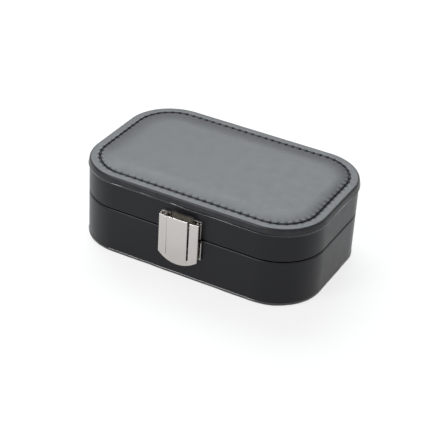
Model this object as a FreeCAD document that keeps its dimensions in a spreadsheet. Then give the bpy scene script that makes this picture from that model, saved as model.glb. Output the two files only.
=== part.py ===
"""A leather-covered cufflink case with rounded corners, a padded lid, two stop hinges and a press latch.

Axes: X runs along the front, Y from front to back, Z up. The origin is on the table, under the
middle of the case. Every driving dimension is a cell of the spreadsheet, and every sketch and
feature takes its size from those cells.
"""
import FreeCAD, Part
import os
import re
import Sketcher
from math import cos, pi, radians, sin

# alias, value in millimetres (degrees and counts where the note says so), what it measures
DIMENSIONS = (
    ("box_length", 160.0, "length over the covered walls"),
    ("box_width", 102.5, "width from front to back over the covered walls"),
    ("box_height", 54.5, "table to the flat border of the lid"),
    ("corner_radius", 31.0, "plan radius of the covered corners"),
    ("seam_height", 31.6, "table to the middle of the seam between base and lid"),
    ("seam_gap", 0.4, "air between the two rims when the case is shut"),
    ("wall_board", 3.2, "thickness of the wall boards"),
    ("cover_thickness", 0.8, "thickness of the leather with its glue"),
    ("lining_thickness", 0.8, "thickness of the velvet-faced lining card"),
    ("turn_in", 3.0, "depth of leather turned in over a rim"),
    ("rim_rounding", 1.2, "radius of the leather where it turns over a rim"),
    ("felt_thickness", 0.6, "felt under the case"),
    ("felt_inset", 4.0, "felt edge to the outer face of the walls"),
    ("floor_board", 2.2, "covered board that closes the case below"),
    ("floor_overhang", 0.4, "how far the floor board stands out past the walls"),
    ("floor_rounding", 0.7, "radius along the edges of the floor board"),
    ("floor_lining", 1.0, "velvet-faced card on the floor"),
    ("top_board", 2.2, "board that closes the lid"),
    ("border_board", 1.1, "flat board ring around the padded panel"),
    ("border_width", 6.4, "outer face of the walls to the middle of the stitched groove"),
    ("groove_width", 1.4, "width of the stitched groove"),
    ("top_overhang", 0.5, "how far the lid panel stands out past the walls"),
    ("top_rounding", 1.3, "radius along the upper edge of the lid panel"),
    ("pad_rise", 1.0, "crown of the padded panel above the flat border"),
    ("crown_run", 11.0, "how far the padded panel curves in before it is level"),
    ("inner_pad", 4.0, "thickness of the pad inside the lid"),
    ("inner_pad_gap", 0.5, "air around the pad inside the lid"),
    ("inner_pad_rounding", 2.4, "radius along the edge of the pad inside the lid"),
    ("divider_board", 2.4, "thickness of the velvet-covered dividers"),
    ("divider_height", 23.0, "height of the dividers above the lining"),
    ("bay_divider_x", -8.0, "place of the divider beside the cushion rolls"),
    ("short_divider_x", 34.0, "place of the divider that crosses the compartments"),
    ("lap_clearance", 0.05, "air on each side of a half-lap joint"),
    ("roll_count", 5, "number of cushion rolls"),
    ("roll_gap", 0.5, "air between two cushion rolls"),
    ("roll_height", 18.5, "height of a cushion roll above the lining"),
    ("roll_clearance", 0.3, "air around the ends of the rolls"),
    ("hinge_spacing", 68.0, "distance between the middles of the two hinges"),
    ("leaf_width", 22.0, "length of a hinge along its pin"),
    ("leaf_thickness", 0.7, "sheet thickness of the hinge leaves"),
    ("leaf_depth", 9.0, "depth of a hinge leaf in the wall board"),
    ("kerf_clearance", 0.05, "air between a leaf and its kerf"),
    ("knuckle_radius", 1.5, "outer radius of the hinge knuckles"),
    ("knuckle_count", 5, "number of knuckles along a hinge"),
    ("knuckle_gap", 0.15, "air between two knuckles"),
    ("hinge_clearance", 0.25, "air around the knuckles"),
    ("pin_radius", 0.72, "radius of the hinge pins and the latch pivot"),
    ("pin_clearance", 0.03, "running clearance around the pins"),
    ("pin_head_radius", 1.1, "radius of the pin heads"),
    ("pin_head", 0.5, "thickness of the pin heads"),
    ("heel_reach", 3.3, "hinge axis to the tip of the stop heels"),
    ("heel_angle", 48.0, "degrees from level to the face of a stop heel"),
    ("latch_plate", 0.8, "sheet thickness of the two latch back plates"),
    ("latch_rim", 1.8, "height of the folded sides of the back plates"),
    ("base_plate_width", 29.2, "width of the back plate on the base"),
    ("base_plate_bottom", 17.6, "table to the lower end of the base plate"),
    ("strike_width", 28.0, "width of the back plate on the lid"),
    ("strike_top", 44.0, "table to the upper end of the strike plate"),
    ("plate_margin", 0.3, "back plates to the rims of the case"),
    ("plate_corner", 0.8, "corner radius of the back plates"),
    ("notch_width", 15.2, "width of the notch in the strike plate"),
    ("catch_height", 38.6, "table to the upper face of the catch tab"),
    ("catch_width", 12.8, "width of the catch tab"),
    ("catch_reach", 3.0, "front wall to the tip of the catch tab"),
    ("press_width", 27.0, "width of the press plate"),
    ("press_top", 43.5, "table to the upper end of the press plate"),
    ("press_shoulder", 17.0, "table to the lower end of its straight sides"),
    ("press_bottom", 12.2, "table to the lowest point of its rounded end"),
    ("press_sheet", 0.9, "sheet thickness of the press plate"),
    ("press_stand_off", 5.5, "front wall to the crest of the bowed press plate"),
    ("press_bow_radius", 76.0, "plan radius of the bowed press plate"),
    ("press_rounding", 0.3, "radius along the front edges of the press plate"),
    ("tongue_width", 14.0, "width of the raised tongue"),
    ("tongue_raise", 0.8, "how far the tongue stands out of the press plate"),
    ("tongue_extra", 1.3, "how far the tongue stands above the press plate"),
    ("slit_width", 0.8, "width of the slits beside the tongue"),
    ("slit_bottom", 17.2, "table to the lower end of the slits"),
    ("tongue_root", 1.6, "overlap of the tongue with the plate below the slits"),
    ("hook_width", 9.0, "width of the hook behind the tongue"),
    ("hook_sheet", 0.8, "thickness of the hook"),
    ("latch_clearance", 0.2, "air between the hook and the catch tab"),
    ("pivot_height", 24.0, "table to the latch pivot"),
    ("pivot_stand_off", 2.4, "front wall to the latch pivot"),
    ("lug_radius", 1.3, "radius of the lugs around the latch pivot"),
    ("lug_sheet", 0.8, "thickness of the lugs and ears"),
    ("lug_spacing", 20.0, "distance between the middles of the two lugs"),
    ("spring_sheet", 0.3, "thickness of the latch spring"),
    ("spring_width", 5.0, "width of the latch spring"),
    ("spring_bend", 0.7, "radius of the bend of the latch spring"),
    ("spring_foot", 18.2, "table to the foot of the latch spring"),
    ("spring_top", 21.6, "table to the start of its bend"),
    ("spring_tip", 16.2, "table to the tip of its arm"),
    ("nail_radius", 0.6, "radius of the nail shanks"),
    ("nail_length", 3.6, "front wall to the tip of the nails"),
    ("nail_head_radius", 1.2, "radius of the nail heads"),
    ("nail_head", 0.5, "thickness of the nail heads"),
    ("base_nail_spacing", 14.0, "distance between the nails of the base plate"),
    ("base_nail_height", 20.2, "table to the nails of the base plate"),
    ("strike_nail_spacing", 21.6, "distance between the nails of the strike plate"),
    ("strike_nail_height", 41.3, "table to the nails of the strike plate"),
)
ALIASES = {alias for alias, value, note in DIMENSIONS}

# Levels above the table and insets from the outer face of the walls, as formulas of the cells.
FELT_TOP = "felt_thickness"
FLOOR_TOP = "(felt_thickness + floor_board)"
LINING_TOP = f"({FLOOR_TOP} + floor_lining)"
BASE_RIM = "(seam_height - seam_gap / 2)"
LID_RIM = "(seam_height + seam_gap / 2)"
GROOVE_FLOOR = "(box_height - border_board)"
BORDER_TOP = "(box_height - cover_thickness)"
BORDER_BOTTOM = f"({BORDER_TOP} - border_board)"
PANEL_BOTTOM = f"({BORDER_BOTTOM} - top_board)"
BOARD_FACE = "cover_thickness"
INNER_FACE = "(cover_thickness + wall_board)"
TURNED_FACE = f"({INNER_FACE} + cover_thickness)"
LINED_FACE = f"({INNER_FACE} + lining_thickness)"
PANEL_FACE = "(cover_thickness - top_overhang)"
GROOVE_OUTER = "(border_width - groove_width / 2)"
GROOVE_INNER = "(border_width + groove_width / 2)"
INNER_HALF_LENGTH = f"(box_length / 2 - {LINED_FACE})"
INNER_HALF_WIDTH = f"(box_width / 2 - {LINED_FACE})"
HINGE_AXIS_Y = "(box_width / 2 + knuckle_radius + hinge_clearance)"
KERF_Y = "(box_width / 2 - cover_thickness - wall_board / 2)"
KNUCKLE = "(leaf_width / knuckle_count)"
PIN_HOLE = "(pin_radius + pin_clearance)"
FRONT_WALL = "(box_width / 2)"
HOOK_HEIGHT = "(catch_height + latch_clearance)"
BASE_BOARD_TOP = f"({BASE_RIM} - cover_thickness)"
LID_BOARD_BOTTOM = f"({LID_RIM} + cover_thickness)"
PIVOT_Y = "(-(box_width / 2 + pivot_stand_off))"
LUG_FACE = "((lug_spacing + lug_sheet) / 2)"
EAR_FACE = f"({LUG_FACE} + latch_clearance + lug_sheet)"
EAR_FOOT = "(press_stand_off - press_sheet - latch_clearance)"
CROWN_STEPS = 4
TOUCH = 1e-4

document = FreeCAD.newDocument("CufflinkCase")
sheet = document.addObject("Spreadsheet::Sheet", "Sizes")
sub_parts = []


# ---- the sheet, and features bound to it ---------------------------------------------------------

def fill_sheet():
    """Write every driving dimension into its own named cell."""
    for row, (alias, value, note) in enumerate(DIMENSIONS, start=1):
        sheet.set(f"A{row}", note)
        sheet.set(f"B{row}", str(value))
        sheet.setAlias(f"B{row}", alias)
    document.recompute()


def size(alias):
    """The present value of a cell."""
    return float(getattr(sheet, alias))


def formula(text):
    """The text with each alias pointed at its cell."""
    def point_at_cell(word):
        return "Sizes." + word[0] if word[0] in ALIASES else word[0]
    return re.sub(r"[A-Za-z_]+", point_at_cell, text)


def bind(thing, name, text):
    """Let a property follow a formula of the cells."""
    thing.setExpression(name, formula(text))


def new_body(label, at=("0", "0", "0")):
    """A sub-part made of sketches and features, placed by formulas."""
    body = document.addObject("PartDesign::Body", label)
    body.Label = label
    for axis, place in zip("xyz", at):
        bind(body, f"Placement.Base.{axis}", place)
    sub_parts.append(body)
    return body


def origin_feature(body, role):
    """One of the body's own base planes or axes."""
    return next(feature for feature in body.Origin.OriginFeatures if feature.Role == role)


def sketch_on(body, role, at=("0", "0", "0"), turn=0):
    """A sketch on a base plane, moved by formulas along its own axes and turned in the plane."""
    sketch = body.newObject("Sketcher::SketchObject", "Sketch")
    sketch.AttachmentSupport = (origin_feature(body, role), "")
    sketch.MapMode = "FlatFace"
    rotation = FreeCAD.Rotation(FreeCAD.Vector(0, 0, 1), turn)
    sketch.AttachmentOffset = FreeCAD.Placement(FreeCAD.Vector(), rotation)
    for axis, place in zip("xyz", at):
        bind(sketch, f"AttachmentOffset.Base.{axis}", place)
    return sketch


def pad(body, sketch, length):
    """Grow the sketch along its normal."""
    feature = body.newObject("PartDesign::Pad", "Pad")
    feature.Profile = sketch
    bind(feature, "Length", length)
    return feature


def pocket(body, sketch, depth, reverse=False):
    """Cut the sketch against its normal, or along it when reversed, and check that it bites."""
    document.recompute()
    before = body.Shape.Volume
    feature = body.newObject("PartDesign::Pocket", "Pocket")
    feature.Profile = sketch
    feature.Reversed = reverse
    bind(feature, "Length", depth)
    document.recompute()
    if body.Shape.Volume >= before:
        raise ValueError(f"a pocket of {body.Label} cuts nothing")
    return feature


def mirror(body, features):
    """Repeat features on the other side of the middle plane."""
    feature = body.newObject("PartDesign::Mirrored", "Mirrored")
    feature.Originals = features
    feature.MirrorPlane = (origin_feature(body, "YZ_Plane"), [""])
    body.Tip = feature
    return feature


def repeat_along_x(body, features, count, length):
    """Repeat features at even steps along X."""
    feature = body.newObject("PartDesign::LinearPattern", "LinearPattern")
    feature.Originals = features
    feature.Direction = (origin_feature(body, "X_Axis"), [""])
    feature.Occurrences = count
    bind(feature, "Length", length)
    body.Tip = feature
    return feature


def round_edges(body, radius, wanted):
    """Round the edges that pass the test."""
    document.recompute()
    base = body.Tip
    names = [f"Edge{number}" for number, edge in enumerate(base.Shape.Edges, start=1) if wanted(edge)]
    feature = body.newObject("PartDesign::Fillet", "Fillet")
    feature.Base = (base, names)
    bind(feature, "Radius", radius)
    return feature


def revolve(body, sketch):
    """Turn a half profile all the way round the sketch's own horizontal axis."""
    feature = body.newObject("PartDesign::Revolution", "Revolution")
    feature.Profile = sketch
    feature.ReferenceAxis = (sketch, ["H_Axis"])
    feature.Angle = 360
    return feature


# ---- outlines -----------------------------------------------------------------------------------

def constrain(sketch, kind, *where, value=None):
    """Add a constraint, bound to a formula when one is given."""
    number = sketch.addConstraint(Sketcher.Constraint(kind, *where))
    if value is not None:
        bind(sketch, f"Constraints[{number}]", value)


def draw_lines(sketch, corners):
    """Straight lines from each corner to the next, not yet joined."""
    return [sketch.addGeometry(Part.LineSegment(*ends)) for ends in zip(corners, corners[1:])]


def draw_polygon(sketch, points):
    """A closed outline through points given as pairs of formulas."""
    starts = [FreeCAD.Vector(number, number ** 2, 0) for number in range(len(points))]
    lines = draw_lines(sketch, starts + starts[:1])
    for line, following, start, (across, up) in zip(lines, lines[1:] + lines[:1], starts, points):
        constrain(sketch, "Coincident", line, 2, following, 1)
        constrain(sketch, "DistanceX", -1, 1, line, 1, start.x, value=across)
        constrain(sketch, "DistanceY", -1, 1, line, 1, start.y, value=up)


def draw_rectangle(sketch, width, height):
    """A rectangle about the sketch's origin."""
    left, right = f"-({width}) / 2", f"({width}) / 2"
    low, high = f"-({height}) / 2", f"({height}) / 2"
    draw_polygon(sketch, [(left, low), (right, low), (right, high), (left, high)])


def draw_circle(sketch, radius, centre=("0", "0")):
    """A circle, its centre given by formulas."""
    circle = sketch.addGeometry(Part.Circle(FreeCAD.Vector(1, 1, 0), FreeCAD.Vector(0, 0, 1), 1))
    constrain(sketch, "Radius", circle, 1.0, value=radius)
    constrain(sketch, "DistanceX", -1, 1, circle, 3, 1.0, value=centre[0])
    constrain(sketch, "DistanceY", -1, 1, circle, 3, 1.0, value=centre[1])


def draw_round_rectangle(sketch, start, formulas):
    """A rectangle with round corners about the origin: length, width and radius."""
    length, width, radius = start
    x, y = length / 2 - radius, width / 2 - radius
    arcs = []
    for number, (sign_x, sign_y) in enumerate(((1, -1), (1, 1), (-1, 1), (-1, -1))):
        circle = Part.Circle(FreeCAD.Vector(sign_x * x, sign_y * y, 0), FreeCAD.Vector(0, 0, 1), radius)
        turn = radians(90 * number)
        arcs.append(sketch.addGeometry(Part.ArcOfCircle(circle, turn - pi / 2, turn)))
    lines = []
    for number in range(4):
        ends = sketch.getPoint(arcs[number], 2), sketch.getPoint(arcs[(number + 1) % 4], 1)
        lines.append(sketch.addGeometry(Part.LineSegment(*ends)))
    for number in range(4):
        constrain(sketch, "Tangent", arcs[number], 2, lines[number], 1)
        constrain(sketch, "Tangent", lines[number], 2, arcs[(number + 1) % 4], 1)
        constrain(sketch, ("Vertical", "Horizontal")[number % 2], lines[number])
    for arc in arcs[1:]:
        constrain(sketch, "Equal", arcs[0], arc)
    constrain(sketch, "Symmetric", arcs[0], 3, arcs[2], 3, -1, 1)
    constrain(sketch, "DistanceX", lines[2], 1, lines[0], 1, length, value=formulas[0])
    constrain(sketch, "DistanceY", lines[3], 1, lines[1], 1, width, value=formulas[1])
    constrain(sketch, "Radius", arcs[0], radius, value=formulas[2])


def draw_case_outline(sketch, inset):
    """The plan of the case, moved in all round by an inset."""
    start = size("box_length"), size("box_width"), size("corner_radius")
    formulas = (f"box_length - 2 * {inset}", f"box_width - 2 * {inset}", f"corner_radius - {inset}")
    draw_round_rectangle(sketch, start, formulas)


def draw_arch(sketch, width, height):
    """An upright on the sketch's origin with a half-round top, first drawn one wide and then fitted."""
    rise = 5.0
    circle = Part.Circle(FreeCAD.Vector(0, rise, 0), FreeCAD.Vector(0, 0, 1), 1)
    arc = sketch.addGeometry(Part.ArcOfCircle(circle, 0, pi))
    corners = [FreeCAD.Vector(x, y, 0) for x, y in ((-1, rise), (-1, 0), (1, 0), (1, rise))]
    left, foot, right = draw_lines(sketch, corners)
    constrain(sketch, "Tangent", arc, 2, left, 1)
    constrain(sketch, "Coincident", left, 2, foot, 1)
    constrain(sketch, "Coincident", foot, 2, right, 1)
    constrain(sketch, "Tangent", right, 2, arc, 1)
    constrain(sketch, "Vertical", left)
    constrain(sketch, "Vertical", right)
    constrain(sketch, "PointOnObject", foot, 1, -1)
    constrain(sketch, "Symmetric", foot, 1, foot, 2, -2)
    constrain(sketch, "Radius", arc, 1.0, value=f"({width}) / 2")
    constrain(sketch, "DistanceY", -1, 1, arc, 3, rise, value=f"{height} - ({width}) / 2")


def draw_bowed_strip(sketch, width):
    """The plan of a bowed sheet whose crest touches the sketch's origin."""
    radius, sheet_thickness, half = size("press_bow_radius"), size("press_sheet"), size("press_width") / 2
    arcs = []
    for bow in (radius, radius - sheet_thickness):
        half_turn = half / bow
        circle = Part.Circle(FreeCAD.Vector(0, radius, 0), FreeCAD.Vector(0, 0, 1), bow)
        arcs.append(sketch.addGeometry(Part.ArcOfCircle(circle, -pi / 2 - half_turn, -pi / 2 + half_turn)))
    outer, inner = arcs
    sides = []
    for end in (1, 2):
        ends = sketch.getPoint(outer, end), sketch.getPoint(inner, end)
        sides.append(sketch.addGeometry(Part.LineSegment(*ends)))
        constrain(sketch, "Coincident", outer, end, sides[-1], 1)
        constrain(sketch, "Coincident", inner, end, sides[-1], 2)
        constrain(sketch, "Vertical", sides[-1])
    constrain(sketch, "Coincident", outer, 3, inner, 3)
    constrain(sketch, "PointOnObject", outer, 3, -2)
    constrain(sketch, "Horizontal", outer, 1, outer, 2)
    constrain(sketch, "DistanceX", outer, 1, outer, 2, 2 * half, value=width)
    constrain(sketch, "Radius", outer, radius, value="press_bow_radius")
    constrain(sketch, "Radius", inner, radius - sheet_thickness, value="press_bow_radius - press_sheet")
    constrain(sketch, "DistanceY", -1, 1, outer, 3, radius, value="press_bow_radius")


# ---- plates and rings with the plan of the case ---------------------------------------------------

def slab(body, inset, bottom, top):
    """A plate with the plan of the case between two levels."""
    sketch = sketch_on(body, "XY_Plane", at=("0", "0", bottom))
    draw_case_outline(sketch, inset)
    return pad(body, sketch, f"{top} - {bottom}")


def hollow(body, inset, bottom, top):
    """Take the plan of the case out of the body between two levels."""
    sketch = sketch_on(body, "XY_Plane", at=("0", "0", top))
    draw_case_outline(sketch, inset)
    return pocket(body, sketch, f"{top} - {bottom}")


def hollow_ring(body, outer, inner, bottom, top):
    """Take a ring between two insets out of the body between two levels."""
    sketch = sketch_on(body, "XY_Plane", at=("0", "0", top))
    draw_case_outline(sketch, outer)
    draw_case_outline(sketch, inner)
    return pocket(body, sketch, f"{top} - {bottom}")


def outer_edge(body, *ends):
    """A test for the level edges around the outside of the body, at its "top", its "bottom" or both."""
    document.recompute()
    box = body.Shape.BoundBox
    levels = {"top": box.ZMax, "bottom": box.ZMin}

    def wanted(edge):
        around = edge.BoundBox
        flat = around.ZLength < TOUCH
        at_end = any(abs(around.ZMin - levels[end]) < TOUCH for end in ends)
        to_sides = box.XMax - around.XMax, around.XMin - box.XMin
        to_ends = box.YMax - around.YMax, around.YMin - box.YMin
        return flat and at_end and min(to_sides + to_ends) < TOUCH
    return wanted


def crown(body, kind, inset, bottom):
    """Loft the padded panel: its sides stand up from the bottom and curve in to a level top."""
    sections = []
    for step in range(CROWN_STEPS + 1):
        turn = pi / 2 * step / CROWN_STEPS
        section_inset = f"({inset} + crown_run * {1 - cos(turn):.6f})"
        level = f"({bottom} + (border_board + pad_rise) * {sin(turn):.6f})"
        sketch = sketch_on(body, "XY_Plane", at=("0", "0", level))
        draw_case_outline(sketch, section_inset)
        sections.append(sketch)
    feature = body.newObject(f"PartDesign::{kind}", kind)
    feature.Profile = sections[0]
    feature.Sections = sections[1:]
    return feature


# ---- case and lid -------------------------------------------------------------------------------

def cut_for_hinges(body, y_middle, y_width, rim, depth, upwards):
    """Open a rim where the two hinges enter it."""
    sketch = sketch_on(body, "XY_Plane", at=("hinge_spacing / 2", y_middle, rim))
    draw_rectangle(sketch, "leaf_width + 2 * kerf_clearance", y_width)
    mirror(body, [pocket(body, sketch, depth, reverse=upwards)])


def bore_for_nails(body, spacing, height):
    """Two holes through the front, where the nails of a latch plate go."""
    sketch = sketch_on(body, "XZ_Plane", at=(f"{spacing} / 2", height, FRONT_WALL))
    draw_circle(sketch, "nail_radius")
    mirror(body, [pocket(body, sketch, "nail_length")])


def wall_board(label, low, high, rim, nails):
    """The bent board ring behind the leather, rounded along its rim."""
    body = new_body(label)
    end = "top" if rim == high else "bottom"
    slab(body, BOARD_FACE, low, high)
    round_edges(body, "rim_rounding - cover_thickness", outer_edge(body, end))
    hollow(body, INNER_FACE, low, high)
    cut_for_hinges(body, KERF_Y, "leaf_thickness + 2 * kerf_clearance", rim, "leaf_depth", end == "bottom")
    bore_for_nails(body, *nails)


def wall_cover(label, low, high, board, leg, nails):
    """The leather around a wall board, turned in over the rim."""
    body = new_body(label)
    end, rim = ("top", high) if board[0] == low else ("bottom", low)
    slab(body, "0", low, high)
    round_edges(body, "rim_rounding", outer_edge(body, end))
    hollow(body, TURNED_FACE, low, high)
    hollow_ring(body, BOARD_FACE, INNER_FACE, *board)
    hollow(body, INNER_FACE, *leg)
    notch_depth = "cover_thickness + leaf_thickness / 2"
    notch_width = f"(box_width / 2 + cover_thickness - {KERF_Y} + leaf_thickness / 2)"
    notch_middle = f"{KERF_Y} - leaf_thickness / 2 + {notch_width} / 2"
    cut_for_hinges(body, notch_middle, notch_width, rim, notch_depth, end == "bottom")
    bore_for_nails(body, *nails)


def ring_lining(label, low, high):
    """The lining card around the inside of a wall."""
    body = new_body(label)
    slab(body, INNER_FACE, low, high)
    hollow(body, LINED_FACE, low, high)


def underside_felt():
    body = new_body("underside_felt")
    slab(body, "felt_inset", "0", FELT_TOP)


def base_floor_board():
    """The covered board under the walls, a little proud of them, with softened edges."""
    body = new_body("base_floor_board")
    slab(body, "(-floor_overhang)", FELT_TOP, FLOOR_TOP)
    round_edges(body, "floor_rounding", outer_edge(body, "top", "bottom"))


def base_floor_lining():
    body = new_body("base_floor_lining")
    slab(body, LINED_FACE, FLOOR_TOP, LINING_TOP)


def lid_top_board():
    body = new_body("lid_top_board")
    slab(body, PANEL_FACE, PANEL_BOTTOM, BORDER_BOTTOM)


def lid_border_board():
    """The flat ring that gives the lid its border."""
    body = new_body("lid_border_board")
    slab(body, PANEL_FACE, BORDER_BOTTOM, BORDER_TOP)
    round_edges(body, "top_rounding - cover_thickness", outer_edge(body, "top"))
    hollow(body, f"({GROOVE_OUTER} - cover_thickness)", BORDER_BOTTOM, BORDER_TOP)


def lid_pad_foam():
    """The crowned foam under the padded panel."""
    body = new_body("lid_pad_foam")
    crown(body, "AdditiveLoft", f"({GROOVE_INNER} + cover_thickness)", BORDER_BOTTOM)


def lid_top_cover():
    """The leather over the whole lid panel, drawn down in the stitched groove and crowned inside it."""
    body = new_body("lid_top_cover")
    slab(body, "(-top_overhang)", PANEL_BOTTOM, "box_height")
    round_edges(body, "top_rounding", outer_edge(body, "top"))
    hollow(body, GROOVE_OUTER, GROOVE_FLOOR, "box_height")
    crown(body, "AdditiveLoft", GROOVE_INNER, GROOVE_FLOOR)
    hollow(body, PANEL_FACE, PANEL_BOTTOM, BORDER_BOTTOM)
    hollow_ring(body, PANEL_FACE, f"({GROOVE_OUTER} - cover_thickness)", BORDER_BOTTOM, BORDER_TOP)
    crown(body, "SubtractiveLoft", f"({GROOVE_INNER} + cover_thickness)", BORDER_BOTTOM)


def lid_inner_pad():
    """The soft pad inside the lid."""
    body = new_body("lid_inner_pad")
    slab(body, f"({LINED_FACE} + inner_pad_gap)", f"({PANEL_BOTTOM} - inner_pad)", PANEL_BOTTOM)
    round_edges(body, "inner_pad_rounding", outer_edge(body, "bottom"))


# ---- inside the base ------------------------------------------------------------------------------

def divider_along_y(label, place):
    """A round-topped divider that runs from the front lining to the back lining."""
    body = new_body(label)
    sketch = sketch_on(body, "XZ_Plane", at=(place, LINING_TOP, f"-{INNER_HALF_WIDTH}"))
    draw_arch(sketch, "divider_board", "divider_height")
    pad(body, sketch, f"2 * {INNER_HALF_WIDTH}")
    return body


def cut_lap(body, middle, bottom):
    """Half of the cross joint between the two dividers of the compartments."""
    sketch = sketch_on(body, "XY_Plane", at=("short_divider_x", "0", f"{middle}"))
    slot = "divider_board + 2 * lap_clearance"
    draw_rectangle(sketch, slot, slot)
    pocket(body, sketch, f"{middle} - {bottom}")


def dividers():
    """The bay divider, and two crossed dividers that make four compartments."""
    lap = f"({LINING_TOP} + divider_height / 2)"
    divider_along_y("bay_divider", "bay_divider_x")
    short = divider_along_y("short_divider", "short_divider_x")
    cut_lap(short, f"({LINING_TOP} + divider_height)", lap)
    cross = new_body("cross_divider")
    start = "(bay_divider_x + divider_board / 2)"
    sketch = sketch_on(cross, "YZ_Plane", at=("0", LINING_TOP, start))
    draw_arch(sketch, "divider_board", "divider_height")
    pad(cross, sketch, f"{INNER_HALF_LENGTH} - {start}")
    cut_lap(cross, lap, LINING_TOP)


def cushion_rolls():
    """Cushion rolls side by side in the bay, their ends cut to the round corners."""
    bay = f"({INNER_HALF_LENGTH} + bay_divider_x - divider_board / 2)"
    pitch = f"({bay} / roll_count)"
    for number in range(int(size("roll_count"))):
        body = new_body(f"cushion_roll_{number + 1}")
        middle = f"({pitch} * {number + 0.5} - {INNER_HALF_LENGTH})"
        sketch = sketch_on(body, "XZ_Plane", at=(middle, LINING_TOP, f"-{INNER_HALF_WIDTH}"))
        draw_arch(sketch, f"({pitch} - roll_gap)", "roll_height")
        pad(body, sketch, f"2 * {INNER_HALF_WIDTH}")
        outside = "(-corner_radius / 2)"
        ends = f"({LINED_FACE} + roll_clearance)"
        hollow_ring(body, outside, ends, LINING_TOP, f"({LINING_TOP} + roll_height)")


# ---- hinges -------------------------------------------------------------------------------------

def heel_outline(inner_radius, side):
    """The stop heel of a leaf, from a radius outwards; its face lies on a line through the pin."""
    face = "cos(heel_angle * 1deg)", f"{side} * sin(heel_angle * 1deg)"
    away = "-sin(heel_angle * 1deg)", f"{side} * cos(heel_angle * 1deg)"
    corners = ((inner_radius, "0"), ("heel_reach", "0"),
               ("heel_reach", "leaf_thickness"), (inner_radius, "leaf_thickness"))
    return [tuple(f"{reach} * {face[axis]} + {thick} * {away[axis]}" for axis in range(2))
            for reach, thick in corners]


def hinge_leaf(label, middle, side, knuckles):
    """A leaf that turns down into its wall board, with knuckles and a full-length stop heel.

    side is 1 for the lid's leaf and -1 for the base's. The body's origin is on the pin's axis.
    """
    body = new_body(label, at=(middle, HINGE_AXIS_Y, "seam_height"))
    kerf = f"({KERF_Y} - {HINGE_AXIS_Y})"
    back, front = f"{kerf} - leaf_thickness / 2", f"{kerf} + leaf_thickness / 2"
    near, far = f"{side} * seam_gap / 2", f"{side} * (seam_gap / 2 + leaf_thickness)"
    tip = f"{side} * (seam_gap / 2 + leaf_depth)"
    edge = "-(knuckle_radius + hinge_clearance)"

    leaf = hinge_sketch(body, "-leaf_width / 2")
    draw_polygon(leaf, [(back, near), (edge, near), (edge, far), (front, far), (front, tip), (back, tip)])
    pad(body, leaf, "leaf_width")
    stop = hinge_sketch(body, "-leaf_width / 2")
    draw_polygon(stop, heel_outline("(knuckle_radius + hinge_clearance)", side))
    pad(body, stop, "leaf_width")

    first = f"-leaf_width / 2 + {knuckles[0]} * {KNUCKLE} + knuckle_gap / 2"
    barrel, web, heel = [hinge_sketch(body, first) for _ in range(3)]
    draw_circle(barrel, "knuckle_radius")
    draw_polygon(web, [(edge, near), ("0", near), ("0", far), (edge, far)])
    draw_polygon(heel, heel_outline(PIN_HOLE, side))
    shapes = [pad(body, sketch, f"{KNUCKLE} - knuckle_gap") for sketch in (barrel, web, heel)]
    document.recompute()
    repeat_along_x(body, shapes, len(knuckles), f"{len(knuckles) - 1} * 2 * {KNUCKLE}")

    bore = hinge_sketch(body, "leaf_width / 2")
    draw_circle(bore, PIN_HOLE)
    pocket(body, bore, "leaf_width")


def hinge_sketch(body, along):
    """A cross-section of a hinge at a place along its pin."""
    return sketch_on(body, "YZ_Plane", at=("0", "0", along))


def headed_pin(label, at, half_length):
    """A round pin along X with a bevelled head at each end."""
    body = new_body(label, at=at)
    end = f"({half_length} + pin_head)"
    bevel = "pin_head / 2"
    half = [(half_length, "pin_radius"), (half_length, "pin_head_radius"),
            (f"{end} - {bevel}", "pin_head_radius"), (end, f"pin_head_radius - {bevel}"), (end, "0")]
    other_half = [(f"-({along})", out) for along, out in reversed(half)]
    sketch = sketch_on(body, "XY_Plane")
    draw_polygon(sketch, half + other_half)
    revolve(body, sketch)


def hinges():
    """Two stop hinges in the back wall, each with two leaves and a pin."""
    every = range(int(size("knuckle_count")))
    for name, sign in (("left", "-"), ("right", "")):
        middle = f"{sign}hinge_spacing / 2"
        hinge_leaf(f"hinge_{name}_base_leaf", middle, -1, every[0::2])
        hinge_leaf(f"hinge_{name}_lid_leaf", middle, 1, every[1::2])
        on_axis = (middle, HINGE_AXIS_Y, "seam_height")
        headed_pin(f"hinge_{name}_pin", on_axis, "(leaf_width / 2 + knuckle_gap / 2)")


# ---- latch --------------------------------------------------------------------------------------

def back_plate(label, width, bottom, top, nail_spacing, nail_height):
    """A latch back plate against the front wall, its sides folded forward, bored for its nails."""
    body = new_body(label)
    height, middle = f"({top} - {bottom})", f"(({top} + {bottom}) / 2)"
    sketch = sketch_on(body, "XZ_Plane", at=("0", middle, FRONT_WALL))
    draw_round_rectangle(sketch, (size("strike_width"), size("strike_width") / 2, size("plate_corner")),
                         (width, height, "plate_corner"))
    pad(body, sketch, "latch_plate")
    sketch = sketch_on(body, "XZ_Plane", at=(f"({width} - latch_plate) / 2", middle, FRONT_WALL))
    draw_rectangle(sketch, "latch_plate", f"{height} - 2 * plate_corner")
    rim = pad(body, sketch, "latch_rim")
    document.recompute()
    mirror(body, [rim])
    nail_hole = f"{nail_spacing} / 2", nail_height, f"{FRONT_WALL} + latch_plate"
    sketch = sketch_on(body, "XZ_Plane", at=nail_hole)
    draw_circle(sketch, "nail_radius")
    mirror(body, [pocket(body, sketch, "latch_plate")])
    return body


def pivot_bore(body, half_width):
    """The hole for the latch pivot, right through the body."""
    sketch = sketch_on(body, "YZ_Plane", at=(PIVOT_Y, "pivot_height", half_width))
    draw_circle(sketch, PIN_HOLE)
    pocket(body, sketch, f"2 * {half_width}")


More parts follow.
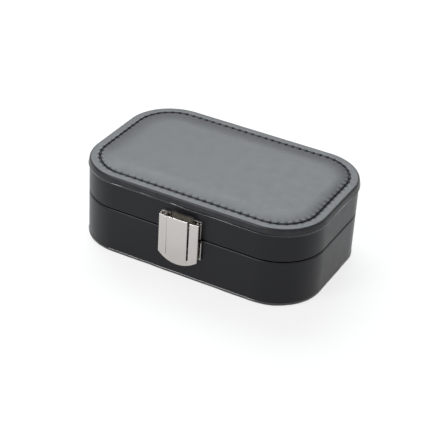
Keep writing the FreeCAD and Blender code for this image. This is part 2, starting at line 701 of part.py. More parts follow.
def pivot_ear(body, foot, reach, outer_face, turn):
    """A pair of round-ended ears around the latch pivot, from a foot on one side of it."""
    sketch = sketch_on(body, "YZ_Plane", at=(foot, "pivot_height", f"{outer_face} - lug_sheet"), turn=turn)
    draw_arch(sketch, "2 * lug_radius", reach)
    ear = pad(body, sketch, "lug_sheet")
    document.recompute()
    mirror(body, [ear])


def latch_base_plate():
    """The back plate on the base, with two lugs that carry the pivot."""
    top = f"({BASE_RIM} - plate_margin)"
    body = back_plate("latch_base_plate", "base_plate_width", "base_plate_bottom", top,
                      "base_nail_spacing", "base_nail_height")
    foot = f"-({FRONT_WALL} + latch_plate / 2)"
    reach = "(pivot_stand_off - latch_plate / 2 + lug_radius)"
    pivot_ear(body, foot, reach, LUG_FACE, turn=90)
    pivot_bore(body, LUG_FACE)


def latch_strike_plate():
    """The back plate on the lid, with the catch tab bent forward out of its notch."""
    bottom = f"({LID_RIM} + plate_margin)"
    body = back_plate("latch_strike_plate", "strike_width", bottom, "strike_top",
                      "strike_nail_spacing", "strike_nail_height")
    depth = "(strike_top - catch_height)"
    face = f"{FRONT_WALL} + latch_plate"
    sketch = sketch_on(body, "XZ_Plane", at=("0", f"strike_top - {depth} / 2", face))
    draw_rectangle(sketch, "notch_width", depth)
    pocket(body, sketch, "latch_plate")
    sketch = sketch_on(body, "XZ_Plane", at=("0", "catch_height - latch_plate / 2", FRONT_WALL))
    draw_rectangle(sketch, "catch_width", "latch_plate")
    pad(body, sketch, "catch_reach")


def latch_press_plate():
    """The bowed front plate: rounded below, with a raised tongue between two slits, a hook and ears."""
    body = new_body("latch_press_plate")
    crest = f"-({FRONT_WALL} + press_stand_off)"
    sketch = sketch_on(body, "XY_Plane", at=("0", crest, "press_bottom"))
    draw_bowed_strip(sketch, "press_width")
    pad(body, sketch, "press_top - press_bottom")

    far = f"({FRONT_WALL} + press_stand_off + press_sheet)"
    sketch = sketch_on(body, "XZ_Plane", at=("0", "press_bottom", far))
    draw_rounded_end_waste(sketch)
    pocket(body, sketch, "press_stand_off + press_sheet")
    document.recompute()
    round_edges(body, "press_rounding", front_edge(body))

    window = "(press_top - slit_bottom + press_sheet)"
    sketch = sketch_on(body, "XZ_Plane", at=("0", f"slit_bottom + {window} / 2", far))
    draw_rectangle(sketch, "tongue_width + 2 * slit_width", window)
    pocket(body, sketch, "press_stand_off + press_sheet")
    root = "(slit_bottom - tongue_root)"
    sketch = sketch_on(body, "XY_Plane", at=("0", f"{crest} - tongue_raise", root))
    draw_bowed_strip(sketch, "tongue_width")
    pad(body, sketch, f"press_top + tongue_extra - {root}")

    hook_start = f"({FRONT_WALL} + catch_reach + latch_clearance)"
    sketch = sketch_on(body, "XZ_Plane", at=("0", f"{HOOK_HEIGHT} + hook_sheet / 2", hook_start))
    draw_rectangle(sketch, "hook_width", "hook_sheet")
    pad(body, sketch, f"{FRONT_WALL} + press_stand_off + tongue_raise - press_sheet / 2 - {hook_start}")

    foot = f"-({FRONT_WALL} + {EAR_FOOT})"
    pivot_ear(body, foot, f"({EAR_FOOT} - pivot_stand_off + lug_radius)", EAR_FACE, turn=-90)
    pivot_bore(body, EAR_FACE)


def draw_rounded_end_waste(sketch):
    """What is cut away below the rounded end of the press plate; the sketch starts at its lowest point."""
    half, rise = size("press_width") / 2, size("press_shoulder") - size("press_bottom")
    radius = (half ** 2 + rise ** 2) / (2 * rise)
    circle = Part.Circle(FreeCAD.Vector(0, radius, 0), FreeCAD.Vector(0, 0, 1), radius)
    arc = sketch.addGeometry(Part.ArcOfCircle(circle, -pi / 2 - half / radius, -pi / 2 + half / radius))
    corners = [FreeCAD.Vector(x, y, 0) for x, y in ((half, rise), (half, -1), (-half, -1), (-half, rise))]
    right, foot, left = draw_lines(sketch, corners)
    constrain(sketch, "Coincident", arc, 2, right, 1)
    constrain(sketch, "Coincident", right, 2, foot, 1)
    constrain(sketch, "Coincident", foot, 2, left, 1)
    constrain(sketch, "Coincident", left, 2, arc, 1)
    constrain(sketch, "PointOnObject", arc, 3, -2)
    constrain(sketch, "Horizontal", arc, 1, arc, 2)
    constrain(sketch, "PointOnObject", -1, 1, arc)
    constrain(sketch, "DistanceX", arc, 1, arc, 2, 2 * half, value="press_width")
    constrain(sketch, "DistanceY", -1, 1, arc, 2, rise, value="press_shoulder - press_bottom")
    constrain(sketch, "Symmetric", foot, 1, foot, 2, -2)
    constrain(sketch, "DistanceX", foot, 2, foot, 1, 2 * half, value="press_width + 2 * press_sheet")
    constrain(sketch, "DistanceY", foot, 1, -1, 1, 1.0, value="press_sheet")


def front_edge(body):
    """A test for the edges around the front face of the bowed plate."""
    front = size("press_bow_radius")
    middle_y = -(size("box_width") / 2 + size("press_stand_off")) + front

    def wanted(edge):
        points = [vertex.Point for vertex in edge.Vertexes]
        return all(abs(((point.y - middle_y) ** 2 + point.x ** 2) ** 0.5 - front) < 1e-3 for point in points)
    return wanted


def latch_spring():
    """A V-shaped leaf spring: its foot lies on the base plate and its arm pushes the press plate out."""
    body = new_body("latch_spring")
    wall_side = f"-({FRONT_WALL} + latch_plate + spring_sheet / 2)"
    path = sketch_on(body, "YZ_Plane", at=(wall_side, "spring_foot", "0"))
    bend = size("spring_bend")
    rise = size("spring_top") - size("spring_foot")
    drop = size("spring_foot") - size("spring_tip")
    out = "(press_stand_off - press_sheet - latch_clearance - latch_plate - spring_sheet)"
    circle = Part.Circle(FreeCAD.Vector(-bend, rise, 0), FreeCAD.Vector(0, 0, 1), bend)
    turned = radians(160)
    end = FreeCAD.Vector(-bend + bend * cos(turned), rise + bend * sin(turned), 0)
    foot = path.addGeometry(Part.LineSegment(FreeCAD.Vector(0, 0, 0), FreeCAD.Vector(0, rise, 0)))
    arc = path.addGeometry(Part.ArcOfCircle(circle, 0, turned))
    arm = path.addGeometry(Part.LineSegment(end, FreeCAD.Vector(-3, -drop, 0)))
    constrain(path, "Coincident", foot, 1, -1, 1)
    constrain(path, "Vertical", foot)
    constrain(path, "Tangent", foot, 2, arc, 1)
    constrain(path, "Tangent", arc, 2, arm, 1)
    constrain(path, "Radius", arc, bend, value="spring_bend")
    constrain(path, "DistanceY", foot, 1, foot, 2, rise, value="spring_top - spring_foot")
    constrain(path, "DistanceX", arm, 2, -1, 1, 3.0, value=out)
    constrain(path, "DistanceY", arm, 2, -1, 1, drop, value="spring_foot - spring_tip")
    section = sketch_on(body, "XY_Plane", at=("0", wall_side, "spring_foot"))
    draw_rectangle(section, "spring_width", "spring_sheet")
    feature = body.newObject("PartDesign::AdditivePipe", "Pipe")
    feature.Profile = section
    feature.Spine = path


def latch_nails(label, spacing, height):
    """A pair of round-headed nails that hold a back plate to its wall."""
    body = new_body(label, at=("0", f"-({FRONT_WALL} + latch_plate)", height))
    sketch = sketch_on(body, "XZ_Plane", at=(f"{spacing} / 2", "0", "0"))
    draw_circle(sketch, "nail_radius")
    shank = pad(body, sketch, "latch_plate + nail_length")
    shank.Reversed = True
    head_sketch = sketch_on(body, "XZ_Plane", at=(f"{spacing} / 2", "0", "0"))
    draw_circle(head_sketch, "nail_head_radius")
    head = pad(body, head_sketch, "nail_head")
    document.recompute()
    mirror(body, [shank, head])


def latch():
    """The press latch: a plate on the base, one on the lid, and the sprung plate in front of them."""
    latch_base_plate()
    latch_strike_plate()
    latch_press_plate()
    headed_pin("latch_pivot_pin", ("0", PIVOT_Y, "pivot_height"), f"({EAR_FACE} + latch_clearance)")
    latch_spring()
    latch_nails("latch_base_nails", "base_nail_spacing", "base_nail_height")
    latch_nails("latch_strike_nails", "strike_nail_spacing", "strike_nail_height")


# ---- the whole case -------------------------------------------------------------------------------

def build():
    """Make every sub-part."""
    base_nails = "base_nail_spacing", "base_nail_height"
    lid_nails = "strike_nail_spacing", "strike_nail_height"
    underside_felt()
    base_floor_board()
    wall_board("base_wall_board", FLOOR_TOP, BASE_BOARD_TOP, BASE_BOARD_TOP, base_nails)
    wall_cover("base_wall_cover", FLOOR_TOP, BASE_RIM, (FLOOR_TOP, BASE_BOARD_TOP),
               (FLOOR_TOP, f"({BASE_RIM} - turn_in)"), base_nails)
    ring_lining("base_lining", FLOOR_TOP, f"({BASE_RIM} - turn_in)")
    base_floor_lining()
    dividers()
    cushion_rolls()
    wall_board("lid_wall_board", LID_BOARD_BOTTOM, PANEL_BOTTOM, LID_BOARD_BOTTOM, lid_nails)
    wall_cover("lid_wall_cover", LID_RIM, PANEL_BOTTOM, (LID_BOARD_BOTTOM, PANEL_BOTTOM),
               (f"({LID_RIM} + turn_in)", PANEL_BOTTOM), lid_nails)
    ring_lining("lid_lining", f"({LID_RIM} + turn_in)", PANEL_BOTTOM)
    lid_top_board()
    lid_border_board()
    lid_pad_foam()
    lid_top_cover()
    lid_inner_pad()
    hinges()
    latch()


def check():
    """Stop if any object failed, any sketch is loose or any sub-part has no sound solid."""
    document.recompute()
    for thing in document.Objects:
        owners = [owner.Label for owner in thing.InList]
        if "Invalid" in thing.State or "Error" in thing.State:
            raise RuntimeError(f"{thing.Label} of {owners} did not compute: {thing.State}")
        if thing.TypeId == "Sketcher::SketchObject" and not thing.FullyConstrained:
            raise RuntimeError(f"{thing.Label} of {owners} is not fully constrained")
    for body in sub_parts:
        if body.Shape.isNull() or not body.Shape.isValid() or not body.Shape.Solids:
            raise RuntimeError(f"{body.Label} has no sound solid")


def export():
    """Write one STEP file for each sub-part."""
    os.makedirs("parts", exist_ok=True)
    for body in sub_parts:
        body.Shape.exportStep(f"parts/{body.Label}.step")
        print(f"{body.Label}: {len(body.Shape.Solids)} solid, {body.Shape.Volume:.1f} mm3")


fill_sheet()
build()
check()
export()
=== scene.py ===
"""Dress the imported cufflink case: leather, stitches, velvet and nickel, in plain studio light."""

import random
from math import atan2, cos, exp, hypot, pi, radians, sin

import bmesh
import bpy
from mathutils import Matrix, Vector, noise


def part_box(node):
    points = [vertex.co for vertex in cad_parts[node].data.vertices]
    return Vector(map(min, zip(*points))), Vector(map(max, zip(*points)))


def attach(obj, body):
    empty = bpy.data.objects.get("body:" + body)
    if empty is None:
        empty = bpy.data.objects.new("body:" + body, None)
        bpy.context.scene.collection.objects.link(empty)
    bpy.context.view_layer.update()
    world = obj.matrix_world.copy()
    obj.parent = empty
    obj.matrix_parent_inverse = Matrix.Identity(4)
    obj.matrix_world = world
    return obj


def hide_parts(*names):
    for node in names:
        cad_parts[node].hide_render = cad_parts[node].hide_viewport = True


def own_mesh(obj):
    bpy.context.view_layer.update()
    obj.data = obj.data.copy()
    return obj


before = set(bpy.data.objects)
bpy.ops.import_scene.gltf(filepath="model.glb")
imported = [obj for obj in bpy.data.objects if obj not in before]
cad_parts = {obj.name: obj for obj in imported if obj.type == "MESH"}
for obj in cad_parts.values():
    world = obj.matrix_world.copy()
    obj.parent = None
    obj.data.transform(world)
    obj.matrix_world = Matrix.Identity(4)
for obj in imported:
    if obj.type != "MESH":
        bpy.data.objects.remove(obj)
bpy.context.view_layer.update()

bl_info = {
    "name": "Cufflink Case",
    "version": (1, 0, 0),
    "blender": (4, 5, 0),
    "location": "View3D > Sidebar > Cufflink Case",
    "description": "Dresses a leather-covered cufflink case with its stitches, velvet and nickel fittings",
    "category": "Object",
}

MM = 0.001

CASE_CORNER = 31.0 * MM             # radius of the covered walls' corners
BORDER_LEATHER = 0.8 * MM           # thickness of the leather over the lid's border

UPRIGHT_ROWS = (0.12, 0.13)         # rows below the lean of the lid panel's side, in shares of its height
LEANING_SHARE = 1 - sum(UPRIGHT_ROWS)
GROOVE_STEPS = ((0.3, -0.12), (0.35, -0.5), (0.65, -0.38),  # in and down from the border, then up again,
                (0.6, 0.1), (0.3, 0.45), (0.3, 0.35))       # in shares of half the width and of the depth
GROOVE_LIP = -sum(up for across, up in GROOVE_STEPS)        # how far short of the border they end

STITCH_SEED = 11                    # for the lean and the length of each stitch
STITCH_LEANS = (-5, 9)              # how far a stitch may turn off the seam, in degrees
STITCH_LENGTHS = (0.93, 1.05)       # how far a stitch's length may vary

ROLL_CLEARANCE = 0.3 * MM           # roll's end to the lined wall
ROLL_END_ROUND = 3.0 * MM           # rounding along the edge of a roll's end
ROLL_END_CROWN = 0.4 * MM           # how far a roll's end swells past that rounding

NOISE_MIDDLE = (0.3, 0.7)           # the part of a noise that is spread over a finish
NOISE_CORE = (0.35, 0.65)           # a narrower part, for patches with plainer edges
MIX_FACTOR, MIX_FIRST, MIX_SECOND, MIX_RESULT = 0, 6, 7, 2  # the colour sockets of a Mix node


# ---- settings ------------------------------------------------------------------------------------

def length_setting(name, description, default):
    """A length in metres that a user may change."""
    return bpy.props.FloatProperty(name=name, description=description, default=default, min=0.0,
                                   subtype="DISTANCE", unit="LENGTH", precision=5)


def colour_setting(name, description, default):
    """A colour that a user may change."""
    return bpy.props.FloatVectorProperty(name=name, description=description, default=default, size=3,
                                         min=0.0, max=1.0, subtype="COLOR")


def share_setting(name, description, default):
    """A share from 0 to 1 that a user may change."""
    return bpy.props.FloatProperty(name=name, description=description, default=default, min=0.0, max=1.0,
                                   subtype="FACTOR")


class CaseLeatherSettings(bpy.types.PropertyGroup):
    """The leather over the case and the padded panel of its lid."""
    colour: colour_setting("Leather", "Colour of the leather", (0.0044, 0.0047, 0.0070))
    roughness: share_setting("Roughness", "How dull the leather is", 0.36)
    border: length_setting("Border", "Walls to the middle of the stitched groove", 6.4 * MM)
    groove_width: length_setting("Groove Width", "Width of the stitched groove", 1.2 * MM)
    groove_depth: length_setting("Groove Depth", "Flat border to the bottom of the groove", 1.1 * MM)
    crown_run: length_setting("Crown Run", "Groove to the level middle of the padded panel", 14.0 * MM)
    crown_rise: length_setting("Crown Rise", "Flat border to the top of the padded panel", 1.3 * MM)
    edge_radius: length_setting("Edge Radius", "Rounding along the upper edge of the lid", 1.4 * MM)
    edge_drop: length_setting("Edge Drop", "How far that rounding reaches down the side", 2.5 * MM)
    edge_lean: length_setting("Edge Lean", "Lean of the lid panel's side below its rounding", 0.25 * MM)
    under_radius: length_setting("Under Radius", "Rounding along the lower edge of the lid panel", 0.5 * MM)


class CaseStitchSettings(bpy.types.PropertyGroup):
    """The thread in the groove of the lid."""
    colour: colour_setting("Thread", "Colour of the thread", (0.008, 0.008, 0.009))
    pitch: length_setting("Pitch", "From one stitch to the next", 4.83 * MM)
    length: length_setting("Length", "Visible length of a stitch", 3.5 * MM)
    thickness: length_setting("Thickness", "Thickness of the thread", 0.5 * MM)
    pucker: length_setting("Pucker", "How far the leather is drawn in at a stitch", 0.24 * MM)
    pucker_reach: length_setting("Pucker Reach", "How far a pucker runs in over the padded panel", 1.8 * MM)


class CaseEdgeSettings(bpy.types.PropertyGroup):
    """The leather folds along the lid and the floor board."""
    welt: length_setting("Welt", "Thickness of the fold under the lid panel", 0.9 * MM)
    welt_reach: length_setting("Welt Reach", "How far the fold stands out past the walls", 0.65 * MM)
    welt_drop: length_setting("Welt Drop", "Lid panel to the top of the fold", 0.15 * MM)
    floor_waver: length_setting("Floor Waver", "How unevenly the floor board's edge is covered", 0.22 * MM)


class CaseVelvetSettings(bpy.types.PropertyGroup):
    """The velvet inside the case."""
    colour: colour_setting("Velvet", "Colour of the velvet", (0.17, 0.16, 0.155))
    nap: length_setting("Nap", "Rounding of velvet over the edge of a card", 0.7 * MM)
    roll_sag: length_setting("Roll Sag", "How far a cushion roll swells and sags", 0.35 * MM)


class CaseMetalSettings(bpy.types.PropertyGroup):
    """The nickel of the latch and the hinges."""
    colour: colour_setting("Nickel", "Colour of the nickel plate", (0.535, 0.512, 0.495))
    roughness: share_setting("Roughness", "How dull the nickel plate is", 0.26)
    edge: length_setting("Edge", "Rounding along the edges of a back plate", 0.22 * MM)
    press_edge: length_setting("Press Edge", "Rounding along the edge of the press plate", 0.36 * MM)
    tongue_width: length_setting("Tongue Width", "Width of the tongue of the press plate", 14.0 * MM)
    tongue_length: length_setting("Tongue Length", "Free length of the tongue", 27.6 * MM)
    tongue_spring: length_setting("Tongue Spring", "How far the tongue's top springs forward", 0.5 * MM)


class CaseStageSettings(bpy.types.PropertyGroup):
    """The floor, the lamps and the camera."""
    floor_colour: colour_setting("Floor", "Colour of the floor", (0.9, 0.9, 0.9))
    floor_glow: share_setting("Floor Glow", "How far the floor is lifted to white where it is seen", 0.78)
    camera_turn: bpy.props.FloatProperty(
        name="Turn", description="Turn of the camera from the front towards the right end",
        default=radians(27.026), subtype="ANGLE", unit="ROTATION")
    camera_height: bpy.props.FloatProperty(
        name="Height", description="Angle of the camera above the floor",
        default=radians(31.916), subtype="ANGLE", unit="ROTATION")
    camera_roll: bpy.props.FloatProperty(
        name="Roll", description="Turn of the camera about its own line of sight",
        default=radians(3.495), subtype="ANGLE", unit="ROTATION")
    camera_distance: length_setting("Distance", "Distance from the camera to its target", 0.88827)
    camera_lens: bpy.props.FloatProperty(
        name="Lens", description="Focal length of the camera", default=117.97, unit="CAMERA")


SETTINGS = {
    "case_leather": CaseLeatherSettings,
    "case_stitches": CaseStitchSettings,
    "case_edges": CaseEdgeSettings,
    "case_velvet": CaseVelvetSettings,
    "case_metal": CaseMetalSettings,
    "case_stage": CaseStageSettings,
}


# ---- plan of the case ----------------------------------------------------------------------------

class RoundedPlan:
    """A rectangle with round corners about the origin, measured along and in from its outline."""

    def __init__(self, length, width, radius):
        self.length = length
        self.width = width
        self.radius = radius
        self.straight_x = length / 2 - radius
        self.straight_y = width / 2 - radius
        self.quarter = self.straight_x + self.straight_y + radius * pi / 2
        self.around = 4 * self.quarter

    def inset(self, x, y):
        """How far a point lies inside the outline."""
        over_x, over_y = abs(x) - self.straight_x, abs(y) - self.straight_y
        if over_x > 0 and over_y > 0:
            return self.radius - hypot(over_x, over_y)
        return self.radius - max(over_x, over_y)

    def along(self, x, y):
        """The distance to a point along the outline, from the middle of the right end anticlockwise."""
        over_x, over_y = abs(x) - self.straight_x, abs(y) - self.straight_y
        turn = atan2(max(over_y, 0), max(over_x, 0)) if max(over_x, over_y) > 0 else pi / 2
        on_end = min(abs(y), self.straight_y)
        on_side = self.straight_x - min(abs(x), self.straight_x)
        quarter = on_end + self.radius * turn + on_side
        if x < 0:
            quarter = 2 * self.quarter - quarter
        return quarter if y >= 0 else self.around - quarter

    def place(self, along):
        """The point at a distance along the outline, and the heading there."""
        number, rest = divmod(along % self.around, self.quarter)
        if number % 2:
            rest = self.quarter - rest
        on_arc = min(max(rest - self.straight_y, 0), self.radius * pi / 2)
        turn = on_arc / self.radius
        x = self.straight_x + self.radius * cos(turn) - max(rest - self.straight_y - on_arc, 0)
        y = min(rest, self.straight_y) + self.radius * sin(turn)
        heading = pi / 2 + turn
        if number % 2:
            heading = pi - heading
            x = -x
        if number >= 2:
            x, y, heading = -x, -y, heading + pi
        return x, y, heading


def case_plan(inset=0.0):
    """The plan of the case's covered walls, moved in by an inset."""
    low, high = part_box("base_wall_cover")
    return RoundedPlan(high.x - low.x - 2 * inset, high.y - low.y - 2 * inset, CASE_CORNER - inset)


def node_inset(name):
    """How far a CAD node's outline lies inside the covered walls, or below zero where it stands out."""
    low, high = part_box(name)
    return (case_plan().length - (high.x - low.x)) / 2


def border_top():
    """The height of the lid's flat border: the board below it and its leather."""
    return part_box("lid_border_board")[1].z + BORDER_LEATHER


def stitched_seam():
    """The plan of the stitched groove, and how many stitches go round it."""
    seam = case_plan(bpy.context.scene.case_leather.border)
    return seam, round(seam.around / bpy.context.scene.case_stitches.pitch)


# ---- meshes --------------------------------------------------------------------------------------

def finish_piece(name, mesh, body, material, replaced=()):
    """Turn a bmesh into a smooth piece that rides on a body and stands for CAD nodes."""
    bmesh.ops.recalc_face_normals(mesh, faces=mesh.faces)
    if mesh.calc_volume(signed=True) < 0:
        bmesh.ops.reverse_faces(mesh, faces=mesh.faces)
    data = bpy.data.meshes.new(name)
    mesh.to_mesh(data)
    mesh.free()
    for face in data.polygons:
        face.use_smooth = True
    piece = bpy.data.objects.new(name, data)
    bpy.context.scene.collection.objects.link(piece)
    data.materials.append(material)
    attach(piece, body)
    if replaced:
        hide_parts(*replaced)
    return piece


def upward_face(mesh):
    """The face inside a mesh's one outline, turned upwards."""
    face = bmesh.ops.contextual_create(mesh, geom=mesh.edges)["faces"][0]
    face.normal_update()
    if face.normal.z < 0:
        bmesh.ops.reverse_faces(mesh, faces=[face])
    return face


def plan_face(mesh, plan, height, corner_cuts, side_cuts, end_cuts):
    """A level face with a rounded plan, its outline cut into short edges."""
    made = bmesh.ops.create_circle(mesh, cap_ends=False, segments=4 * (corner_cuts + 1), radius=1)
    for number, vert in enumerate(made["verts"]):
        corner, step = divmod(number, corner_cuts + 1)
        turn = pi / 2 * (corner + step / corner_cuts)
        side_x = 1 if corner in (0, 3) else -1
        side_y = 1 if corner in (0, 1) else -1
        vert.co = (side_x * plan.straight_x + plan.radius * cos(turn),
                   side_y * plan.straight_y + plan.radius * sin(turn), height)
    tolerance = 0.1 * MM
    for cuts, straight in ((side_cuts, plan.straight_x), (end_cuts, plan.straight_y)):
        long_edges = [edge for edge in mesh.edges if abs(edge.calc_length() - 2 * straight) < tolerance]
        bmesh.ops.subdivide_edges(mesh, edges=long_edges, cuts=cuts - 1)
    return upward_face(mesh)


def grow(mesh, face, rise):
    """Raise a face, leaving a wall below it."""
    is_first = len(mesh.faces) == 1
    made = bmesh.ops.extrude_face_region(mesh, geom=[face])
    raised = [part for part in made["geom"] if isinstance(part, bmesh.types.BMVert)]
    bmesh.ops.translate(mesh, vec=(0, 0, rise), verts=raised)
    if face.is_valid and not is_first:
        bmesh.ops.delete(mesh, geom=[face], context="FACES_ONLY")
    return next(part for part in made["geom"] if isinstance(part, bmesh.types.BMFace))


def grow_rows(mesh, face, rise, rows):
    """Raise a face in equal rows."""
    for _ in range(rows):
        face = grow(mesh, face, rise / rows)
    return face


def step_in(mesh, face, profile):
    """Step a level face inwards; the profile gives each step's inset and rise."""
    for inset, rise in profile:
        bmesh.ops.inset_region(mesh, faces=[face], thickness=inset, depth=rise,
                               use_even_offset=True, use_boundary=True)
    return face


def steps_between(points):
    """The steps from each point of a profile to the next."""
    return [(far[0] - near[0], far[1] - near[1]) for near, far in zip(points, points[1:])]


def quarter_round(radius, cuts, height=None):
    """The steps of a quarter round, rising and then level; with a height, a quarter of an ellipse."""
    height = height or radius
    turns = [pi / 2 * number / cuts for number in range(cuts + 1)]
    return steps_between([(radius * (1 - cos(turn)), height * sin(turn)) for turn in turns])


def round_off(radius, into_round):
    """How far a quarter round is drawn in, at a distance past its start."""
    return radius - max(radius ** 2 - into_round ** 2, 0) ** 0.5


def fill_middle(mesh, face, inset):
    """Replace a level face by a grid of small ones; the inset is that of the piece around it."""
    reach = case_plan(inset).inset(max(vert.co.x for vert in face.verts), 0)
    plan = case_plan(inset + reach)
    edges = list(face.edges)
    bmesh.ops.delete(mesh, geom=[face], context="FACES_ONLY")
    half_corner = pi / 4
    chosen = []
    for edge in edges:
        middle = (edge.verts[0].co + edge.verts[1].co) / 2
        over_x, over_y = abs(middle.x) - plan.straight_x, abs(middle.y) - plan.straight_y
        on_side = over_x <= 0 or (over_y > 0 and atan2(over_y, over_x) > half_corner)
        if on_side:
            chosen.append(edge)
    bmesh.ops.grid_fill(mesh, edges=chosen, use_smooth=True)


def outward(plan, x, y):
    """The level direction out of a plan at a point."""
    over = Vector((max(abs(x) - plan.straight_x, 0), max(abs(y) - plan.straight_y, 0)))
    if over.length == 0:
        over = Vector((1, 0)) if abs(x) - plan.length / 2 > abs(y) - plan.width / 2 else Vector((0, 1))
    over.normalize()
    return Vector((over.x if x > 0 else -over.x, over.y if y > 0 else -over.y, 0))


def close_ring(mesh, low_face, high_face, depth):
    """Turn a solid slab into a ring: both of its level faces are opened and joined by an inner wall."""
    loops = []
    for face in (low_face, high_face):
        step_in(mesh, face, [(depth, 0.0)])
        loops += list(face.edges)
    bmesh.ops.delete(mesh, geom=[low_face, high_face], context="FACES_ONLY")
    bmesh.ops.bridge_loops(mesh, edges=loops)


def softened_copy(name, edge, cuts, material, body, piece_name):
    """A copy of a CAD node whose sharp edges are rounded, which stands for that node."""
    same_place, flat, sharp = 0.002 * MM, radians(0.5), radians(40)
    mesh = bmesh.new()
    mesh.from_mesh(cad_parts[name].data)
    bmesh.ops.remove_doubles(mesh, verts=mesh.verts, dist=same_place)
    bmesh.ops.dissolve_limit(mesh, angle_limit=flat, verts=mesh.verts, edges=mesh.edges)
    edges = [line for line in mesh.edges if line.is_manifold and line.calc_face_angle(0) > sharp]
    bmesh.ops.bevel(mesh, geom=edges, offset=edge, offset_type="OFFSET", segments=cuts, profile=0.5,
                    affect="EDGES", clamp_overlap=True, material=-1)
    bmesh.ops.triangulate(mesh, faces=[face for face in mesh.faces if len(face.verts) > 4])
    return finish_piece(piece_name, mesh, body, material, [name])


def unevenness(x, y, z):
    """Smooth irregularity from about -1 to 1 at a point counted in waves; a spare axis picks a layer."""
    return noise.noise(Vector((x, y, z)))


def surface_unevenness(x, y, waves, fine_waves, layers):
    """Slow irregularity over a level surface with fainter, finer irregularity on it, in waves per metre."""
    fine_share = 0.4
    slow = unevenness(x * waves, y * waves, layers[0])
    return slow + fine_share * unevenness(x * fine_waves, y * fine_waves, layers[1])


# ---- padded leather top --------------------------------------------------------------------------

def side_profile(settings, side):
    """Up the side of the lid panel, leaning in, and over its rounded edge."""
    rows, edge_cuts = 4, 7
    lean = [(settings.edge_lean / rows, LEANING_SHARE * side / rows)] * rows
    return lean + quarter_round(settings.edge_radius, edge_cuts, height=settings.edge_drop)


def border_profile(settings, overhang):
    """In over the flat border and through the groove."""
    rows = 4
    half_groove = settings.groove_width / 2
    first_step = GROOVE_STEPS[0][0] * half_groove
    to_groove = overhang + settings.border - half_groove - first_step
    flat = to_groove - settings.edge_lean - settings.edge_radius
    groove = [(across * half_groove, up * settings.groove_depth) for across, up in GROOVE_STEPS]
    return [(flat / rows, 0.0)] * rows + groove


def crown_profile(settings):
    """Up over the padded panel: steep beside the groove, where the rows are closest, and then level."""
    rows, crowding, fullness = 12, 1.5, 2.2
    run, rise = settings.crown_run, GROOVE_LIP * settings.groove_depth + settings.crown_rise
    shares = [(number / rows) ** crowding for number in range(rows + 1)]
    return steps_between([(run * share, rise * (1 - (1 - share) ** fullness)) for share in shares])


def make_lid_top(leather):
    """The leather of the lid: a flat border, a stitched groove and a crowned, puckered panel."""
    settings = bpy.context.scene.case_leather
    overhang = -node_inset("lid_top_cover")
    plan = case_plan(-overhang)
    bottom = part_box("lid_top_cover")[0].z
    side = border_top() - bottom - settings.edge_drop
    mesh = bmesh.new()
    face = plan_face(mesh, plan, bottom, corner_cuts=72, side_cuts=138, end_cuts=58)
    for share in UPRIGHT_ROWS:
        face = grow(mesh, face, share * side)
    profile = side_profile(settings, side) + border_profile(settings, overhang) + crown_profile(settings)
    face = step_in(mesh, face, profile)
    fill_middle(mesh, face, -overhang)
    turn_under(mesh, plan, bottom)
    pucker_top(mesh, plan, settings.border + overhang)
    mark_seam(mesh, plan, settings.border + overhang)
    piece = finish_piece("lid_top_leather", mesh, "lid", leather, ["lid_top_cover"])


def turn_under(mesh, plan, bottom):
    """Round the lower edge of the leather where it turns under the lid panel."""
    radius = bpy.context.scene.case_leather.under_radius
    for vert in mesh.verts:
        into_round = radius - (vert.co.z - bottom)
        if into_round > 0:
            vert.co -= outward(plan, vert.co.x, vert.co.y) * round_off(radius, into_round)


def mark_seam(mesh, plan, seam_inset):
    """Map the leather along and across the seam: one unit along is a stitch, one across a millimetre."""
    seam, count = stitched_seam()
    layer = mesh.loops.layers.uv.new("seam")
    spots = {}
    for vert in mesh.verts:
        x, y = vert.co.x, vert.co.y
        spots[vert] = (seam.along(x, y) / seam.around * count, (plan.inset(x, y) - seam_inset) / MM)
    for face in mesh.faces:
        highest = max(spots[vert][0] for vert in face.verts)
        for loop in face.loops:
            along, across = spots[loop.vert]
            if highest - along > count / 2:
                along += count
            loop[layer].uv = (along, across)


def pucker_top(mesh, plan, seam_inset):
    """Draw the leather in at each stitch, and let the pad sag and swell a little."""
    settings = bpy.context.scene.case_leather
    stitches = bpy.context.scene.case_stitches
    seam, count = stitched_seam()
    pitch = seam.around / count
    lowest = border_top() - 1.2 * settings.groove_depth
    border_reach, pad_swell = 0.9 * MM, 0.02 * MM
    usual, change, change_waves = 0.75, 0.5, 90
    for vert in mesh.verts:
        if vert.co.z < lowest:
            continue
        x, y = vert.co.x, vert.co.y
        off_seam = plan.inset(x, y) - seam_inset
        along = seam.along(x, y)
        wave = cos(2 * pi * (along / pitch))
        strength = usual + change * unevenness(along * change_waves, 3.7, 1.1)
        reach = border_reach if off_seam < 0 else stitches.pucker_reach
        near = exp(-(off_seam / reach) ** 2)
        vert.co.z -= stitches.pucker * strength * wave * near
        if off_seam > -settings.groove_width:
            on_pad = min(1.0, max(0.0, off_seam / settings.crown_run))
            swell = surface_unevenness(x, y, waves=28, fine_waves=75, layers=(0.5, 4.0))
            vert.co.z += pad_swell * swell * on_pad


